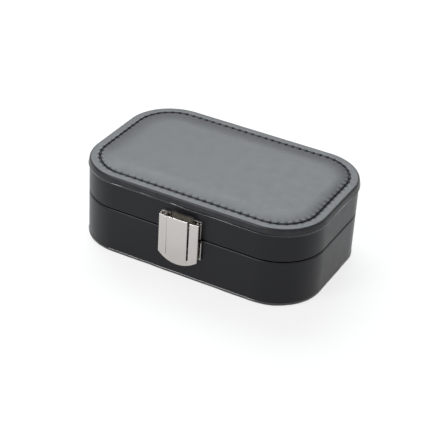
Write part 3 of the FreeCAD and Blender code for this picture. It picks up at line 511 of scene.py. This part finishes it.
def make_stitching(thread):
    """The thread that shows in the groove, one short stitch after another."""
    settings = bpy.context.scene.case_stitches
    above_groove = 0.35 * settings.thickness
    height = border_top() - bpy.context.scene.case_leather.groove_depth + above_groove
    flattening = 0.8
    seam, count = stitched_seam()
    pitch = seam.around / count
    wobble = random.Random(STITCH_SEED)
    mesh = bmesh.new()
    for number in range(count):
        x, y, heading = seam.place((number + 0.5) * pitch)
        lean = heading + radians(wobble.uniform(*STITCH_LEANS))
        length = settings.length * wobble.uniform(*STITCH_LENGTHS)
        size = Vector((length, settings.thickness, settings.thickness * flattening))
        at = Matrix.LocRotScale(Vector((x, y, height)), Matrix.Rotation(lean, 3, "Z"), size)
        bmesh.ops.create_uvsphere(mesh, u_segments=10, v_segments=6, radius=0.5, matrix=at)
    finish_piece("lid_stitching", mesh, "lid", thread)


# ---- leather folds along the edges ---------------------------------------------------------------

def make_lid_welt(leather):
    """The thin fold of leather between the lid panel and the walls, pressed flat here and there."""
    settings = bpy.context.scene.case_edges
    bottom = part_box("lid_top_cover")[0].z - settings.welt_drop - settings.welt
    depth, inner_side, sunk, waver = 0.4 * MM, 0.1 * MM, 0.05 * MM, 0.1 * MM
    flattest, usual, fullest, change = 0.15, 0.75, 1.25, 1.3
    change_waves, waver_waves = 42, 45
    plan = case_plan()
    mesh = bmesh.new()
    face = plan_face(mesh, plan, bottom, corner_cuts=40, side_cuts=80, end_cuts=34)
    high_face = grow_rows(mesh, face, settings.welt, rows=8)
    low_face = min(mesh.faces, key=lambda face: face.calc_center_median().z)
    close_ring(mesh, low_face, high_face, depth)
    for vert in mesh.verts:
        x, y = vert.co.x, vert.co.y
        if plan.inset(x, y) > inner_side:
            continue
        up = (vert.co.z - bottom) / settings.welt
        along = plan.along(x, y)
        fullness = usual + change * unevenness(along * change_waves, 0.3, 2.0)
        out = settings.welt_reach * sin(pi * min(max(up, 0), 1)) * min(fullest, max(flattest, fullness))
        vert.co += outward(plan, x, y) * (out - sunk)
        vert.co.z += waver * unevenness(along * waver_waves, 5.0, 7.0) * (1 - up)
    finish_piece("lid_welt", mesh, "lid", leather)


def make_floor_board(leather):
    """The leather-covered floor board, its edge wrapped a little unevenly."""
    settings = bpy.context.scene.case_edges
    low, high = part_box("base_floor_board")
    plan = case_plan(node_inset("base_floor_board"))
    rounding = 1.0 * MM
    usual, change, fine_share = 0.5, 0.8, 0.6
    waves, upward_waves, fine_waves, fine_upward_waves = 130, 500, 420, 900
    mesh = bmesh.new()
    face = plan_face(mesh, plan, low.z, corner_cuts=64, side_cuts=130, end_cuts=54)
    grow_rows(mesh, face, high.z - low.z, rows=10)
    for vert in mesh.verts:
        x, y, z = vert.co
        along = plan.along(x, y)
        from_edge = min(z - low.z, high.z - z)
        drawn_in = round_off(rounding, max(rounding - from_edge, 0))
        waver = unevenness(along * waves, z * upward_waves, 2.5)
        waver += fine_share * unevenness(along * fine_waves, z * fine_upward_waves, 8.5)
        vert.co -= outward(plan, x, y) * (drawn_in + settings.floor_waver * (usual + change * waver))
    finish_piece("floor_board_leather", mesh, "base", leather, ["base_floor_board"])


# ---- latch ---------------------------------------------------------------------------------------

def lift_tongue(plate):
    """Spring the tongue of the press plate forward, more towards its top."""
    settings = bpy.context.scene.case_metal
    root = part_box("latch_press_plate")[1].z - settings.tongue_length
    tolerance, curving = 0.05 * MM, 1.5
    half_width = settings.tongue_width / 2 + tolerance
    for vert in plate.data.vertices:
        if abs(vert.co.x) < half_width and vert.co.z > root:
            vert.co.y -= settings.tongue_spring * ((vert.co.z - root) / settings.tongue_length) ** curving


def make_spring(steel):
    """The leaf spring behind the press plate, which the plate flattens towards the wall."""
    edge = 0.04 * MM
    spring = softened_copy("latch_spring", edge, 1, steel, "base", "soft_latch_spring")
    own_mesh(spring)


# ---- velvet inside -------------------------------------------------------------------------------

def make_cushion_roll(name, number, velvet):
    """One velvet cushion roll: an arched section, soft ends and a slight swell along its length."""
    low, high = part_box(name)
    middle_x, half_width, height = (low.x + high.x) / 2, (high.x - low.x) / 2, high.z - low.z
    lined = case_plan(node_inset("base_floor_lining"))
    half_length = lined.width / 2 - ROLL_CLEARANCE
    mesh = bmesh.new()
    made = bmesh.ops.create_circle(mesh, cap_ends=False, segments=56, radius=1)
    for vert in made["verts"]:
        vert.co = roll_section(vert.co.x, vert.co.y, half_width, height)
    face = upward_face(mesh)
    face = grow_rows(mesh, face, half_length - ROLL_END_ROUND - ROLL_END_CROWN, rows=26)
    draw_in(mesh, face, roll_end_profile(half_width), height / 2)
    lay_down(mesh)
    soften_roll(mesh, number, middle_x, low.z, height, half_length, lined)
    piece = finish_piece(f"velvet_roll_{number}", mesh, "base", velvet, [name])


def roll_section(x, y, half_width, height):
    """A point of a unit circle brought onto the section of a roll: flat below, arched above."""
    if y >= 0:
        return (half_width * x, height - half_width + half_width * y, 0)
    squareness, corner, corner_cut = 1.45, 1.2 * MM, 0.35
    side = 1 if x > 0 else -1
    across = half_width * side * min(1.0, abs(x) * squareness)
    down = (height - half_width) * (1 - min(1.0, sin(atan2(-y, x)) * squareness))
    if abs(x) < 1 / squareness:
        down = 0.0
    if down < corner and abs(across) > half_width - corner:
        across -= (corner - down) * corner_cut * side
    return (across, down, 0)


def roll_end_profile(half_width):
    """The steps of a roll's end: a quarter round, then a slight crown towards the middle."""
    crown_step = 0.14 * half_width
    crown = [(crown_step, share * ROLL_END_CROWN) for share in (0.6, 0.4)]
    return quarter_round(ROLL_END_ROUND, 6) + crown


def draw_in(mesh, face, profile, middle):
    """Carry a roll on through (inset, rise) steps, drawn in towards the middle of its section."""
    for inset, rise in profile:
        face = grow(mesh, face, rise)
        reach_x = max(vert.co.x for vert in face.verts)
        reach_y = max(vert.co.y for vert in face.verts) - middle
        bmesh.ops.scale(mesh, vec=(1 - inset / reach_x, 1 - inset / reach_y, 1), verts=face.verts,
                        space=Matrix.Translation((0, -middle, 0)))


def lay_down(mesh):
    """Mirror half a standing roll at its foot, and lay the whole of it along Y."""
    tolerance = 0.001 * MM
    foot = [face for face in mesh.faces if face.calc_center_median().z < tolerance]
    bmesh.ops.delete(mesh, geom=foot, context="FACES_ONLY")
    bmesh.ops.mirror(mesh, geom=mesh.verts[:] + mesh.edges[:] + mesh.faces[:], axis="Z",
                     merge_dist=10 * tolerance)
    bmesh.ops.rotate(mesh, cent=(0, 0, 0), matrix=Matrix.Rotation(pi / 2, 3, "X"), verts=mesh.verts)


def soften_roll(mesh, number, middle_x, bottom, height, half_length, lined):
    """Fit a roll between the lined walls, and let it swell, sag and ripple."""
    sag = bpy.context.scene.case_velvet.roll_sag
    ripple_height, ripple_waves, swell_waves = 0.15 * MM, 60, 38
    width, widening = 0.975, 0.02
    layer = 3.1 * number
    for vert in mesh.verts:
        up = vert.co.z
        x = middle_x + vert.co.x
        over = max(abs(x) - lined.straight_x, 0)
        room = lined.straight_y + (max(lined.radius ** 2 - over ** 2, 0)) ** 0.5 - ROLL_CLEARANCE
        y = vert.co.y * min(1.0, room / half_length)
        swell = unevenness(layer, y * swell_waves, up * ripple_waves)
        ripple = unevenness(x * ripple_waves, y * ripple_waves, up * ripple_waves + number)
        z = bottom + up + up / height * (sag * (swell - 0.5) + ripple_height * ripple)
        vert.co = (middle_x + vert.co.x * (width + widening * swell), y, z)


def make_inner_pad(velvet):
    """The velvet pad inside the lid, made face up, crowned towards the middle and turned over."""
    low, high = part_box("lid_inner_pad")
    thickness = high.z - low.z
    inset = node_inset("lid_inner_pad")
    side, chamfer, edge, ripple_depth = 0.4 * MM, (0.25 * MM, 0.3 * MM), 2.2 * MM, 0.2 * MM
    crown_run, crown = 12 * MM, thickness - side - chamfer[1] - edge
    mesh = bmesh.new()
    face = plan_face(mesh, case_plan(inset), 0, corner_cuts=36, side_cuts=70, end_cuts=30)
    face = grow(mesh, face, side)
    profile = [chamfer] + quarter_round(edge, 6) + quarter_round(crown_run, 8, height=crown)
    face = step_in(mesh, face, profile)
    fill_middle(mesh, face, inset)
    for vert in mesh.verts:
        x, y, up = vert.co
        ripple = surface_unevenness(x, y, waves=30, fine_waves=120, layers=(9.0, 1.0))
        vert.co.z = high.z - up - ripple_depth * ripple * (up / thickness)
    piece = finish_piece("lid_velvet_pad", mesh, "lid", velvet, ["lid_inner_pad"])


# ---- materials -----------------------------------------------------------------------------------

class MaterialMaker:
    """Builds one material from nodes, over one shader."""

    def __init__(self, name):
        self.material = bpy.data.materials.new(name)
        self.material.use_nodes = True
        self.tree = self.material.node_tree
        self.shader = self.tree.nodes["Principled BSDF"]
        self.place = self.add("ShaderNodeTexCoord").outputs["Object"]

    def add(self, kind, inputs=None, **settings):
        """A node with settings, its sockets set to values or linked to other sockets."""
        node = self.tree.nodes.new(kind)
        for name, value in settings.items():
            setattr(node, name, value)
        for name, value in (inputs or {}).items():
            self.feed(node.inputs[name], value)
        return node

    def feed(self, socket, value):
        """Link a socket to another, or set it to a value."""
        if isinstance(value, bpy.types.NodeSocket):
            self.tree.links.new(value, socket)
        else:
            socket.default_value = value

    def set(self, **inputs):
        """Feed the shader's own sockets, spaces written as underscores."""
        for name, value in inputs.items():
            self.feed(self.shader.inputs[name.replace("_", " ")], value)

    def noise(self, scale, detail=2.0, roughness=0.5, place=None):
        """Cloudy variation with features of about 1 / scale metres."""
        node = self.add("ShaderNodeTexNoise", {"Vector": place or self.place, "Scale": scale,
                                               "Detail": detail, "Roughness": roughness})
        return node.outputs["Fac"]

    def cells(self, scale, feature="F1"):
        """Cell pattern with cells of about 1 / scale metres."""
        node = self.add("ShaderNodeTexVoronoi", {"Vector": self.place, "Scale": scale}, feature=feature)
        return node.outputs["Distance"]

    def stretched_noise(self, scales, detail, roughness=0.5):
        """Cloudy variation with features of about 1 / scale metres along each axis."""
        place = self.add("ShaderNodeMapping", {"Vector": self.place, "Scale": scales}).outputs["Vector"]
        return self.noise(1.0, detail, roughness, place)

    def axes(self, vector=None):
        """The parts of a vector, or of the object's own coordinates, by axis."""
        return self.add("ShaderNodeSeparateXYZ", {"Vector": vector or self.place}).outputs

    def combine(self, operation, *values):
        """One Math node over sockets and numbers."""
        return self.add("ShaderNodeMath", dict(enumerate(values)), operation=operation).outputs[0]

    def product(self, *factors):
        """All the factors multiplied."""
        result = factors[0]
        for factor in factors[1:]:
            result = self.combine("MULTIPLY", result, factor)
        return result

    def spread(self, factor, low, high, start=0.0, end=1.0):
        """Spread the part of a factor from start to end between two values."""
        node = self.add("ShaderNodeMapRange", {"Value": factor, "From Min": start, "From Max": end,
                                               "To Min": low, "To Max": high})
        return node.outputs["Result"]

    def fade_in(self, value, start, end):
        """0 up to a value's start, rising to 1 at its end."""
        return self.spread(value, 0.0, 1.0, start, end)

    def fade_out(self, value, start, end):
        """1 up to a value's start, falling to 0 at its end."""
        return self.spread(value, 1.0, 0.0, start, end)

    def blend_colours(self, factor, first, second):
        """A colour between two others; the first may also be a socket."""
        if not isinstance(first, bpy.types.NodeSocket):
            first = (*first, 1.0)
        inputs = {MIX_FACTOR: factor, MIX_FIRST: first, MIX_SECOND: (*second, 1.0)}
        return self.add("ShaderNodeMix", inputs, data_type="RGBA").outputs[MIX_RESULT]

    def shades(self, factor, colour, darkest, lightest):
        """A colour that varies between two shades of itself."""
        dark, light = [tuple(min(1.0, part * share) for part in colour) for share in (darkest, lightest)]
        return self.blend_colours(factor, dark, light)

    def bump(self, height, distance, strength=1.0, below=None):
        """Relief of a given depth in metres, on top of any relief below it."""
        inputs = {"Height": height, "Distance": distance, "Strength": strength}
        if below is not None:
            inputs["Normal"] = below
        return self.add("ShaderNodeBump", inputs).outputs["Normal"]


def leather_base(name, gloss=0.0, creasing=0.1):
    """Smooth black leather with a fine grain, faint creases and a satin sheen; gloss polishes it."""
    settings = bpy.context.scene.case_leather
    maker = MaterialMaker(name)
    clouds = maker.noise(scale=45, detail=4)
    maker.colour = maker.shades(clouds, settings.colour, darkest=0.75, lightest=1.35)
    dullness = settings.roughness * (1 - gloss)
    rubbing = maker.noise(scale=160, detail=5)
    maker.rough = maker.spread(rubbing, dullness - 0.02, dullness + 0.025, *NOISE_MIDDLE)
    creases = maker.bump(maker.noise(scale=70, detail=3), distance=0.10 * MM, strength=creasing)
    grain = maker.cells(scale=2300, feature="SMOOTH_F1")
    maker.normal = maker.bump(grain, distance=0.04 * MM, strength=0.35, below=creases)
    maker.set(Base_Color=maker.colour, Roughness=maker.rough, Normal=maker.normal, Specular_IOR_Level=0.265)
    return maker


def leather_material():
    """The leather over the base's walls."""
    return leather_base("wall_leather").material


def notch_light_leather_material():
    """The leather over the lid's walls, with painted light: a paler brown patch in the shaded notch behind
    the latch.
    """
    painted_light_brown = (0.16, 0.142, 0.118)
    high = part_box("latch_strike_plate")[1]
    maker = leather_base("leather_painted_notch_light")
    parts = maker.axes()
    off_middle = maker.combine("ABSOLUTE", parts["X"])
    patches = maker.noise(scale=420, detail=4, roughness=0.7)
    patchy = maker.spread(patches, low=0.45, high=1.0, start=0.35, end=0.6)
    across = maker.fade_out(off_middle, start=7.2 * MM, end=8.0 * MM)
    upward = maker.fade_out(parts["Z"], start=high.z - 0.2 * MM, end=high.z + 1.8 * MM)
    inward = maker.fade_out(parts["Y"], start=high.y + 0.2 * MM, end=high.y + 0.4 * MM)
    painted_light_mask = maker.product(patchy, across, upward, inward)
    # Painted light: a paler brown blended in stands for light in the shaded notch behind the latch.
    maker.set(Base_Color=maker.blend_colours(painted_light_mask, maker.colour, painted_light_brown))
    return maker.material


def panel_leather_material():
    """The leather of the lid panel, drawn in sharply at every stitch and paler in patches down its side."""
    paler_side_colour = (0.025, 0.027, 0.028)
    pucker_depth, pucker_dullness = 0.45 * MM, 0.4
    maker = leather_base("panel_leather", creasing=0.03)
    parts = maker.axes(maker.add("ShaderNodeUVMap", uv_map="seam").outputs["UV"])
    stitches, off_seam = parts["X"], parts["Y"]
    phase = maker.combine("WRAP", stitches, 1.0, 0.0)
    off_middle = maker.combine("ABSOLUTE", maker.combine("SUBTRACT", phase, 0.5))
    near_stitch = maker.fade_in(off_middle, start=0.34, end=0.5)
    on_pad = maker.fade_out(off_seam, start=0.3, end=1.7)
    on_border = maker.fade_in(off_seam, start=-1.6, end=-0.5)
    uneven = maker.spread(maker.noise(scale=170), 0.4, 1.0, *NOISE_CORE)
    pucker = maker.product(on_pad, on_border, uneven, near_stitch)
    rough = maker.combine("MULTIPLY_ADD", pucker, pucker_dullness, maker.rough)
    sunk = maker.combine("MULTIPLY", pucker, -1.0)
    normal = maker.bump(sunk, distance=pucker_depth, below=maker.normal)
    on_side = maker.fade_out(off_seam, start=-6.6, end=-5.7)
    side_patches = maker.spread(maker.noise(scale=260, detail=5, roughness=0.7), 0.35, 1.0, *NOISE_CORE)
    # The side of the panel is paler in patches.
    colour = maker.blend_colours(maker.product(on_side, side_patches), maker.colour, paler_side_colour)
    maker.set(Base_Color=colour, Normal=normal, Roughness=rough)
    return maker.material


def fold_leather_material():
    """Leather polished along its folds."""
    maker = leather_base("fold_leather", gloss=0.6)
    cracks = maker.noise(scale=330, detail=4, roughness=0.65)
    cracked = maker.bump(cracks, distance=0.2 * MM, below=maker.normal)
    maker.set(Normal=cracked, Coat_Weight=1.0, Coat_Roughness=0.09)
    return maker.material


def thread_material():
    """Waxed black thread with its twist."""
    settings = bpy.context.scene.case_stitches
    maker = MaterialMaker("black_thread")
    wave = maker.add("ShaderNodeTexWave", {"Vector": maker.place, "Scale": 900.0, "Distortion": 2.0},
                     bands_direction="DIAGONAL")
    twist = wave.outputs["Fac"]
    colour = maker.shades(twist, settings.colour, darkest=0.6, lightest=1.8)
    strands = maker.bump(twist, distance=0.05 * MM, strength=0.6)
    maker.set(Base_Color=colour, Roughness=0.55, Normal=strands)
    return maker.material


def velvet_material():
    """Short velvet pile, brushed this way and that."""
    settings = bpy.context.scene.case_velvet
    maker = MaterialMaker("velvet_pile")
    brushed = maker.noise(scale=90, detail=3)
    pile = maker.noise(scale=2600, detail=2)
    colour = maker.shades(brushed, settings.colour, darkest=0.72, lightest=1.25)
    nap = maker.bump(brushed, distance=0.25 * MM, strength=0.35)
    tufts = maker.bump(pile, distance=0.12 * MM, strength=0.5, below=nap)
    maker.set(Base_Color=colour, Roughness=0.92, Normal=tufts, Sheen_Weight=0.6, Sheen_Roughness=0.4,
              Sheen_Tint=(0.9, 0.88, 0.86, 1.0), Specular_IOR_Level=0.2)
    return maker.material


def nickel_base(name):
    """Satin nickel plate with fine lengthways rubbing and a few soft stains."""
    settings = bpy.context.scene.case_metal
    maker = MaterialMaker(name)
    stains = maker.noise(scale=75, detail=2)
    rubbing = maker.stretched_noise(scales=(1900.0, 1900.0, 60.0), detail=2)
    maker.colour = maker.shades(stains, settings.colour, darkest=0.94, lightest=1.05)
    rough = maker.spread(rubbing, settings.roughness - 0.01, settings.roughness + 0.015, *NOISE_MIDDLE)
    dents = maker.bump(stains, distance=0.02 * MM, strength=0.2)
    maker.set(Base_Color=maker.colour, Metallic=1.0, Roughness=rough, Normal=dents)
    return maker


def nickel_material():
    """The nickel of the press plate and the hinges."""
    return nickel_base("nickel_plate").material


def shaded_nickel_material():
    """The nickel of the back plates, with painted shade: their faces between the folded sides darkened to
    brown.
    """
    painted_shade_colour = (0.26, 0.235, 0.2)
    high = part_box("latch_strike_plate")[1]
    face = high.y - 0.8 * MM
    maker = nickel_base("shaded_nickel")
    parts = maker.axes()
    deep = maker.fade_in(parts["Y"], start=face - 0.3 * MM, end=face - 0.02 * MM)
    below = maker.fade_out(parts["Z"], start=high.z - 0.4 * MM, end=high.z - 0.1 * MM)
    # Painted shade: the deep faces below the top edge are blended to a darker brown.
    maker.set(Base_Color=maker.blend_colours(maker.product(deep, below), maker.colour, painted_shade_colour))
    return maker.material


def steel_material():
    """Bright drawn steel of pins, nails and the spring."""
    maker = MaterialMaker("drawn_steel")
    drawn = maker.stretched_noise(scales=(300.0, 5000.0, 5000.0), detail=2)
    colour = maker.blend_colours(drawn, (0.52, 0.52, 0.53), (0.68, 0.67, 0.66))
    rough = maker.spread(drawn, 0.25, 0.4, *NOISE_MIDDLE)
    lines = maker.bump(drawn, distance=0.01 * MM, strength=0.4)
    maker.set(Base_Color=colour, Metallic=1.0, Roughness=rough, Normal=lines)
    return maker.material


def board_material():
    """Pressed grey board with flecks of fibre."""
    maker = MaterialMaker("pressed_board")
    flecks = maker.noise(scale=900, detail=6, roughness=0.7)
    colour = maker.blend_colours(flecks, (0.30, 0.28, 0.25), (0.52, 0.49, 0.44))
    fibres = maker.bump(flecks, distance=0.1 * MM, strength=0.5)
    maker.set(Base_Color=colour, Roughness=0.9, Normal=fibres)
    return maker.material


def felt_material():
    """Pressed black felt with loose fibres."""
    maker = MaterialMaker("black_felt")
    fibres = maker.stretched_noise(scales=(1500.0, 2300.0, 1900.0), detail=6, roughness=0.75)
    colour = maker.blend_colours(fibres, (0.012, 0.012, 0.013), (0.05, 0.05, 0.055))
    matted = maker.bump(fibres, distance=0.2 * MM, strength=0.7)
    maker.set(Base_Color=colour, Roughness=0.95, Normal=matted, Sheen_Weight=0.25)
    return maker.material


def foam_material():
    """Open foam, never seen."""
    maker = MaterialMaker("open_foam")
    pores = maker.cells(scale=1400)
    colour = maker.blend_colours(pores, (0.45, 0.43, 0.38), (0.78, 0.75, 0.68))
    pitted = maker.bump(pores, distance=0.3 * MM, strength=0.6)
    maker.set(Base_Color=colour, Roughness=0.95, Normal=pitted)
    return maker.material


def dress(names, material):
    """Give CAD nodes a material."""
    for name in names:
        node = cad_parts[name]
        node.data.materials.clear()
        node.data.materials.append(material)


# ---- operators -----------------------------------------------------------------------------------

def kept_material(name, make):
    """A material by name, made the first time."""
    return bpy.data.materials.get(name) or make()


class CASE_OT_lid_top(bpy.types.Operator):
    """Make the padded leather top of the lid"""
    bl_idname = "case.lid_top"
    bl_label = "Padded Lid Leather"

    def execute(self, context):
        make_lid_top(kept_material("panel_leather", panel_leather_material))
        return {"FINISHED"}


class CASE_OT_stitching(bpy.types.Operator):
    """Sew the groove of the lid"""
    bl_idname = "case.stitching"
    bl_label = "Stitching"

    def execute(self, context):
        make_stitching(kept_material("black_thread", thread_material))
        return {"FINISHED"}


class CASE_OT_walls(bpy.types.Operator):
    """Cover the walls with leather"""
    bl_idname = "case.walls"
    bl_label = "Leather Walls"

    def execute(self, context):
        dress(["base_wall_cover"], kept_material("wall_leather", leather_material))
        # The lid's walls get leather with painted light in the shaded notch behind the latch.
        dress(["lid_wall_cover"], kept_material("leather_painted_notch_light", notch_light_leather_material))
        return {"FINISHED"}


class CASE_OT_folds(bpy.types.Operator):
    """Fold the leather under the lid panel and around the floor board"""
    bl_idname = "case.folds"
    bl_label = "Leather Folds"

    def execute(self, context):
        leather = kept_material("fold_leather", fold_leather_material)
        make_lid_welt(leather)
        make_floor_board(leather)
        return {"FINISHED"}


class CASE_OT_boards(bpy.types.Operator):
    """Dress the boards, the foam and the felt"""
    bl_idname = "case.boards"
    bl_label = "Boards and Felt"

    def execute(self, context):
        board = kept_material("pressed_board", board_material)
        dress(["base_wall_board", "lid_wall_board", "lid_top_board", "lid_border_board"], board)
        dress(["lid_pad_foam"], kept_material("open_foam", foam_material))
        dress(["underside_felt"], kept_material("black_felt", felt_material))
        return {"FINISHED"}


class CASE_OT_velvet(bpy.types.Operator):
    """Line the case with velvet"""
    bl_idname = "case.velvet"
    bl_label = "Velvet Linings"

    def execute(self, context):
        velvet = kept_material("velvet_pile", velvet_material)
        nap = context.scene.case_velvet.nap
        thin_nap = nap / 3
        for name in ("bay_divider", "short_divider", "cross_divider"):
            softened_copy(name, nap, 3, velvet, "base", f"velvet_{name}")
        for body in ("base", "lid"):
            name = f"{body}_lining"
            softened_copy(name, thin_nap, 2, velvet, body, f"velvet_{name}")
        dress(["base_floor_lining"], velvet)
        return {"FINISHED"}


class CASE_OT_rolls(bpy.types.Operator):
    """Stuff the velvet cushion rolls"""
    bl_idname = "case.rolls"
    bl_label = "Cushion Rolls"

    def execute(self, context):
        velvet = kept_material("velvet_pile", velvet_material)
        rolls = sorted(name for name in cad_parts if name.startswith("cushion_roll"))
        for number, name in enumerate(rolls, start=1):
            make_cushion_roll(name, number, velvet)
        return {"FINISHED"}


class CASE_OT_inner_pad(bpy.types.Operator):
    """Stuff the velvet pad inside the lid"""
    bl_idname = "case.inner_pad"
    bl_label = "Inner Lid Pad"

    def execute(self, context):
        make_inner_pad(kept_material("velvet_pile", velvet_material))
        return {"FINISHED"}


class CASE_OT_fittings(bpy.types.Operator):
    """Plate the latch and the hinges with nickel"""
    bl_idname = "case.fittings"
    bl_label = "Nickel Fittings"

    def execute(self, context):
        nickel = kept_material("nickel_plate", nickel_material)
        steel = kept_material("drawn_steel", steel_material)
        edge = context.scene.case_metal.edge
        press_edge = context.scene.case_metal.press_edge
        shaded = kept_material("shaded_nickel", shaded_nickel_material)
        plates = {"latch_press_plate": ("latch", nickel, press_edge),
                  "latch_strike_plate": ("lid", shaded, edge),
                  "latch_base_plate": ("base", shaded, edge)}
        for name, (body, plated, rounding) in plates.items():
            softened_copy(name, rounding, 2, plated, body, f"soft_{name}")
        lift_tongue(bpy.data.objects["soft_latch_press_plate"])
        make_spring(steel)
        dress([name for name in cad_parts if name.endswith("_leaf")], nickel)
        dress([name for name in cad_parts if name.endswith(("_pin", "_nails"))], steel)
        return {"FINISHED"}


class CASE_OT_stage(bpy.types.Operator):
    """Set the floor, the lamps and the camera"""
    bl_idname = "case.stage"
    bl_label = "Stage"

    def execute(self, context):
        make_floor(context.scene.case_stage)
        make_lamps()
        make_world()
        make_camera(context.scene.case_stage)
        context.scene.view_settings.view_transform = "Standard"
        return {"FINISHED"}


# ---- stage ---------------------------------------------------------------------------------------

def make_floor(settings):
    """A large pale floor just under the case."""
    half_size, drop = 6.0, 0.05 * MM
    mesh = bmesh.new()
    bmesh.ops.create_grid(mesh, x_segments=1, y_segments=1, size=half_size)
    bmesh.ops.translate(mesh, vec=(0, 0, -drop), verts=mesh.verts)
    data = bpy.data.meshes.new("floor")
    mesh.to_mesh(data)
    mesh.free()
    data.materials.append(floor_material(settings))
    floor = bpy.data.objects.new("floor", data)
    bpy.context.scene.collection.objects.link(floor)


def floor_material(settings):
    """A dull pale floor, lifted to white where it is seen."""
    maker = MaterialMaker("floor")
    maker.set(Base_Color=(*settings.floor_colour, 1.0), Roughness=0.9, Specular_IOR_Level=0.1)
    white = maker.add("ShaderNodeEmission", {"Color": (1.0, 1.0, 1.0, 1.0), "Strength": 1.0})
    share = maker.product(seen_directly(maker.tree), settings.floor_glow)
    mixed = maker.add("ShaderNodeMixShader", {0: share, 1: maker.shader.outputs[0], 2: white.outputs[0]})
    maker.feed(maker.tree.nodes["Material Output"].inputs["Surface"], mixed.outputs[0])
    return maker.material


def seen_directly(tree):
    """1 for what the camera, a reflection or a view through glass shows, and 0 for light on a surface."""
    path = tree.nodes.new("ShaderNodeLightPath")
    seen = path.outputs["Is Camera Ray"]
    for name in ("Is Glossy Ray", "Is Transmission Ray"):
        either = tree.nodes.new("ShaderNodeMath")
        either.operation = "MAXIMUM"
        tree.links.new(seen, either.inputs[0])
        tree.links.new(path.outputs[name], either.inputs[1])
        seen = either.outputs[0]
    return seen


def add_softbox(name, place, size, power, colour=(1.0, 1.0, 1.0)):
    """A rectangular lamp that faces the case and doesn't show itself."""
    aim = Vector((0, 0, 30 * MM))
    data = bpy.data.lights.new(name, "AREA")
    data.shape = "RECTANGLE"
    data.size, data.size_y = size
    data.energy = power
    data.color = colour
    lamp = bpy.data.objects.new(name, data)
    lamp.location = place
    lamp.rotation_euler = (aim - Vector(place)).to_track_quat("-Z", "Y").to_euler()
    lamp.visible_camera = False
    bpy.context.scene.collection.objects.link(lamp)


def make_lamps():
    """A broad, slightly cool lamp behind on the left, and a weak one in front."""
    add_softbox("back_softbox", place=(-0.60, 0.825, 1.13), size=(1.3, 1.0), power=30.5,
                colour=(0.9, 0.975, 1.0))
    add_softbox("front_softbox", place=(-0.45, -0.95, 0.78), size=(0.5, 0.4), power=7.0)


def make_world():
    """White surroundings for the camera and for reflections, and a plain level of light."""
    light_level, seen_level = 0.42, 1.0
    world = bpy.data.worlds.new("surroundings")
    bpy.context.scene.world = world
    world.use_nodes = True
    tree = world.node_tree
    background = tree.nodes["Background"]
    background.inputs["Color"].default_value = (1.0, 1.0, 1.0, 1.0)
    strength = tree.nodes.new("ShaderNodeMapRange")
    strength.inputs["To Min"].default_value = light_level
    strength.inputs["To Max"].default_value = seen_level
    tree.links.new(seen_directly(tree), strength.inputs["Value"])
    tree.links.new(strength.outputs["Result"], background.inputs["Strength"])


def make_camera(settings):
    """The camera in front of the case, turned to the right and above."""
    length = case_plan().length
    aim_height, aim_left, aim_down = 0.15 * length, 0.0264 * length, 0.0331 * length
    back = Vector((sin(settings.camera_turn) * cos(settings.camera_height),
                   -cos(settings.camera_turn) * cos(settings.camera_height), sin(settings.camera_height)))
    level_right = (-back).cross(Vector((0, 0, 1))).normalized()
    level_up = level_right.cross(-back)
    roll = settings.camera_roll
    right = cos(roll) * level_right + sin(roll) * level_up
    up = -sin(roll) * level_right + cos(roll) * level_up
    target = Vector((0, 0, aim_height)) - aim_left * right - aim_down * up
    data = bpy.data.cameras.new("camera")
    data.lens = settings.camera_lens
    data.sensor_width = 36.0
    data.clip_start = 10 * MM
    camera = bpy.data.objects.new("camera", data)
    turn = Matrix((right, up, back)).transposed().to_4x4()
    camera.matrix_world = Matrix.Translation(target + settings.camera_distance * back) @ turn
    bpy.context.scene.collection.objects.link(camera)
    bpy.context.scene.camera = camera


# ---- panel and registration ----------------------------------------------------------------------

OPERATORS = (CASE_OT_lid_top, CASE_OT_stitching, CASE_OT_walls, CASE_OT_folds, CASE_OT_boards,
             CASE_OT_velvet, CASE_OT_rolls, CASE_OT_inner_pad, CASE_OT_fittings, CASE_OT_stage)


class CASE_PT_panel(bpy.types.Panel):
    """The pieces of the case"""
    bl_label = "Cufflink Case"
    bl_idname = "CASE_PT_panel"
    bl_space_type = "VIEW_3D"
    bl_region_type = "UI"
    bl_category = "Cufflink Case"

    def draw(self, context):
        for operator in OPERATORS:
            self.layout.operator(operator.bl_idname)
        for name, group in SETTINGS.items():
            box = self.layout.box()
            for setting in group.__annotations__:
                box.prop(getattr(context.scene, name), setting)


def register():
    """Make the settings, operators and panel known to Blender."""
    for name, group in SETTINGS.items():
        bpy.utils.register_class(group)
        setattr(bpy.types.Scene, name, bpy.props.PointerProperty(type=group))
    for operator in OPERATORS:
        bpy.utils.register_class(operator)
    bpy.utils.register_class(CASE_PT_panel)


def unregister():
    """Take them away again."""
    bpy.utils.unregister_class(CASE_PT_panel)
    for operator in reversed(OPERATORS):
        bpy.utils.unregister_class(operator)
    for name, group in SETTINGS.items():
        delattr(bpy.types.Scene, name)
        bpy.utils.unregister_class(group)


def main():
    """Make every piece in order."""
    register()
    for operator in OPERATORS:
        group, name = operator.bl_idname.split(".")
        getattr(getattr(bpy.ops, group), name)()


if __name__ == "__main__":
    main()
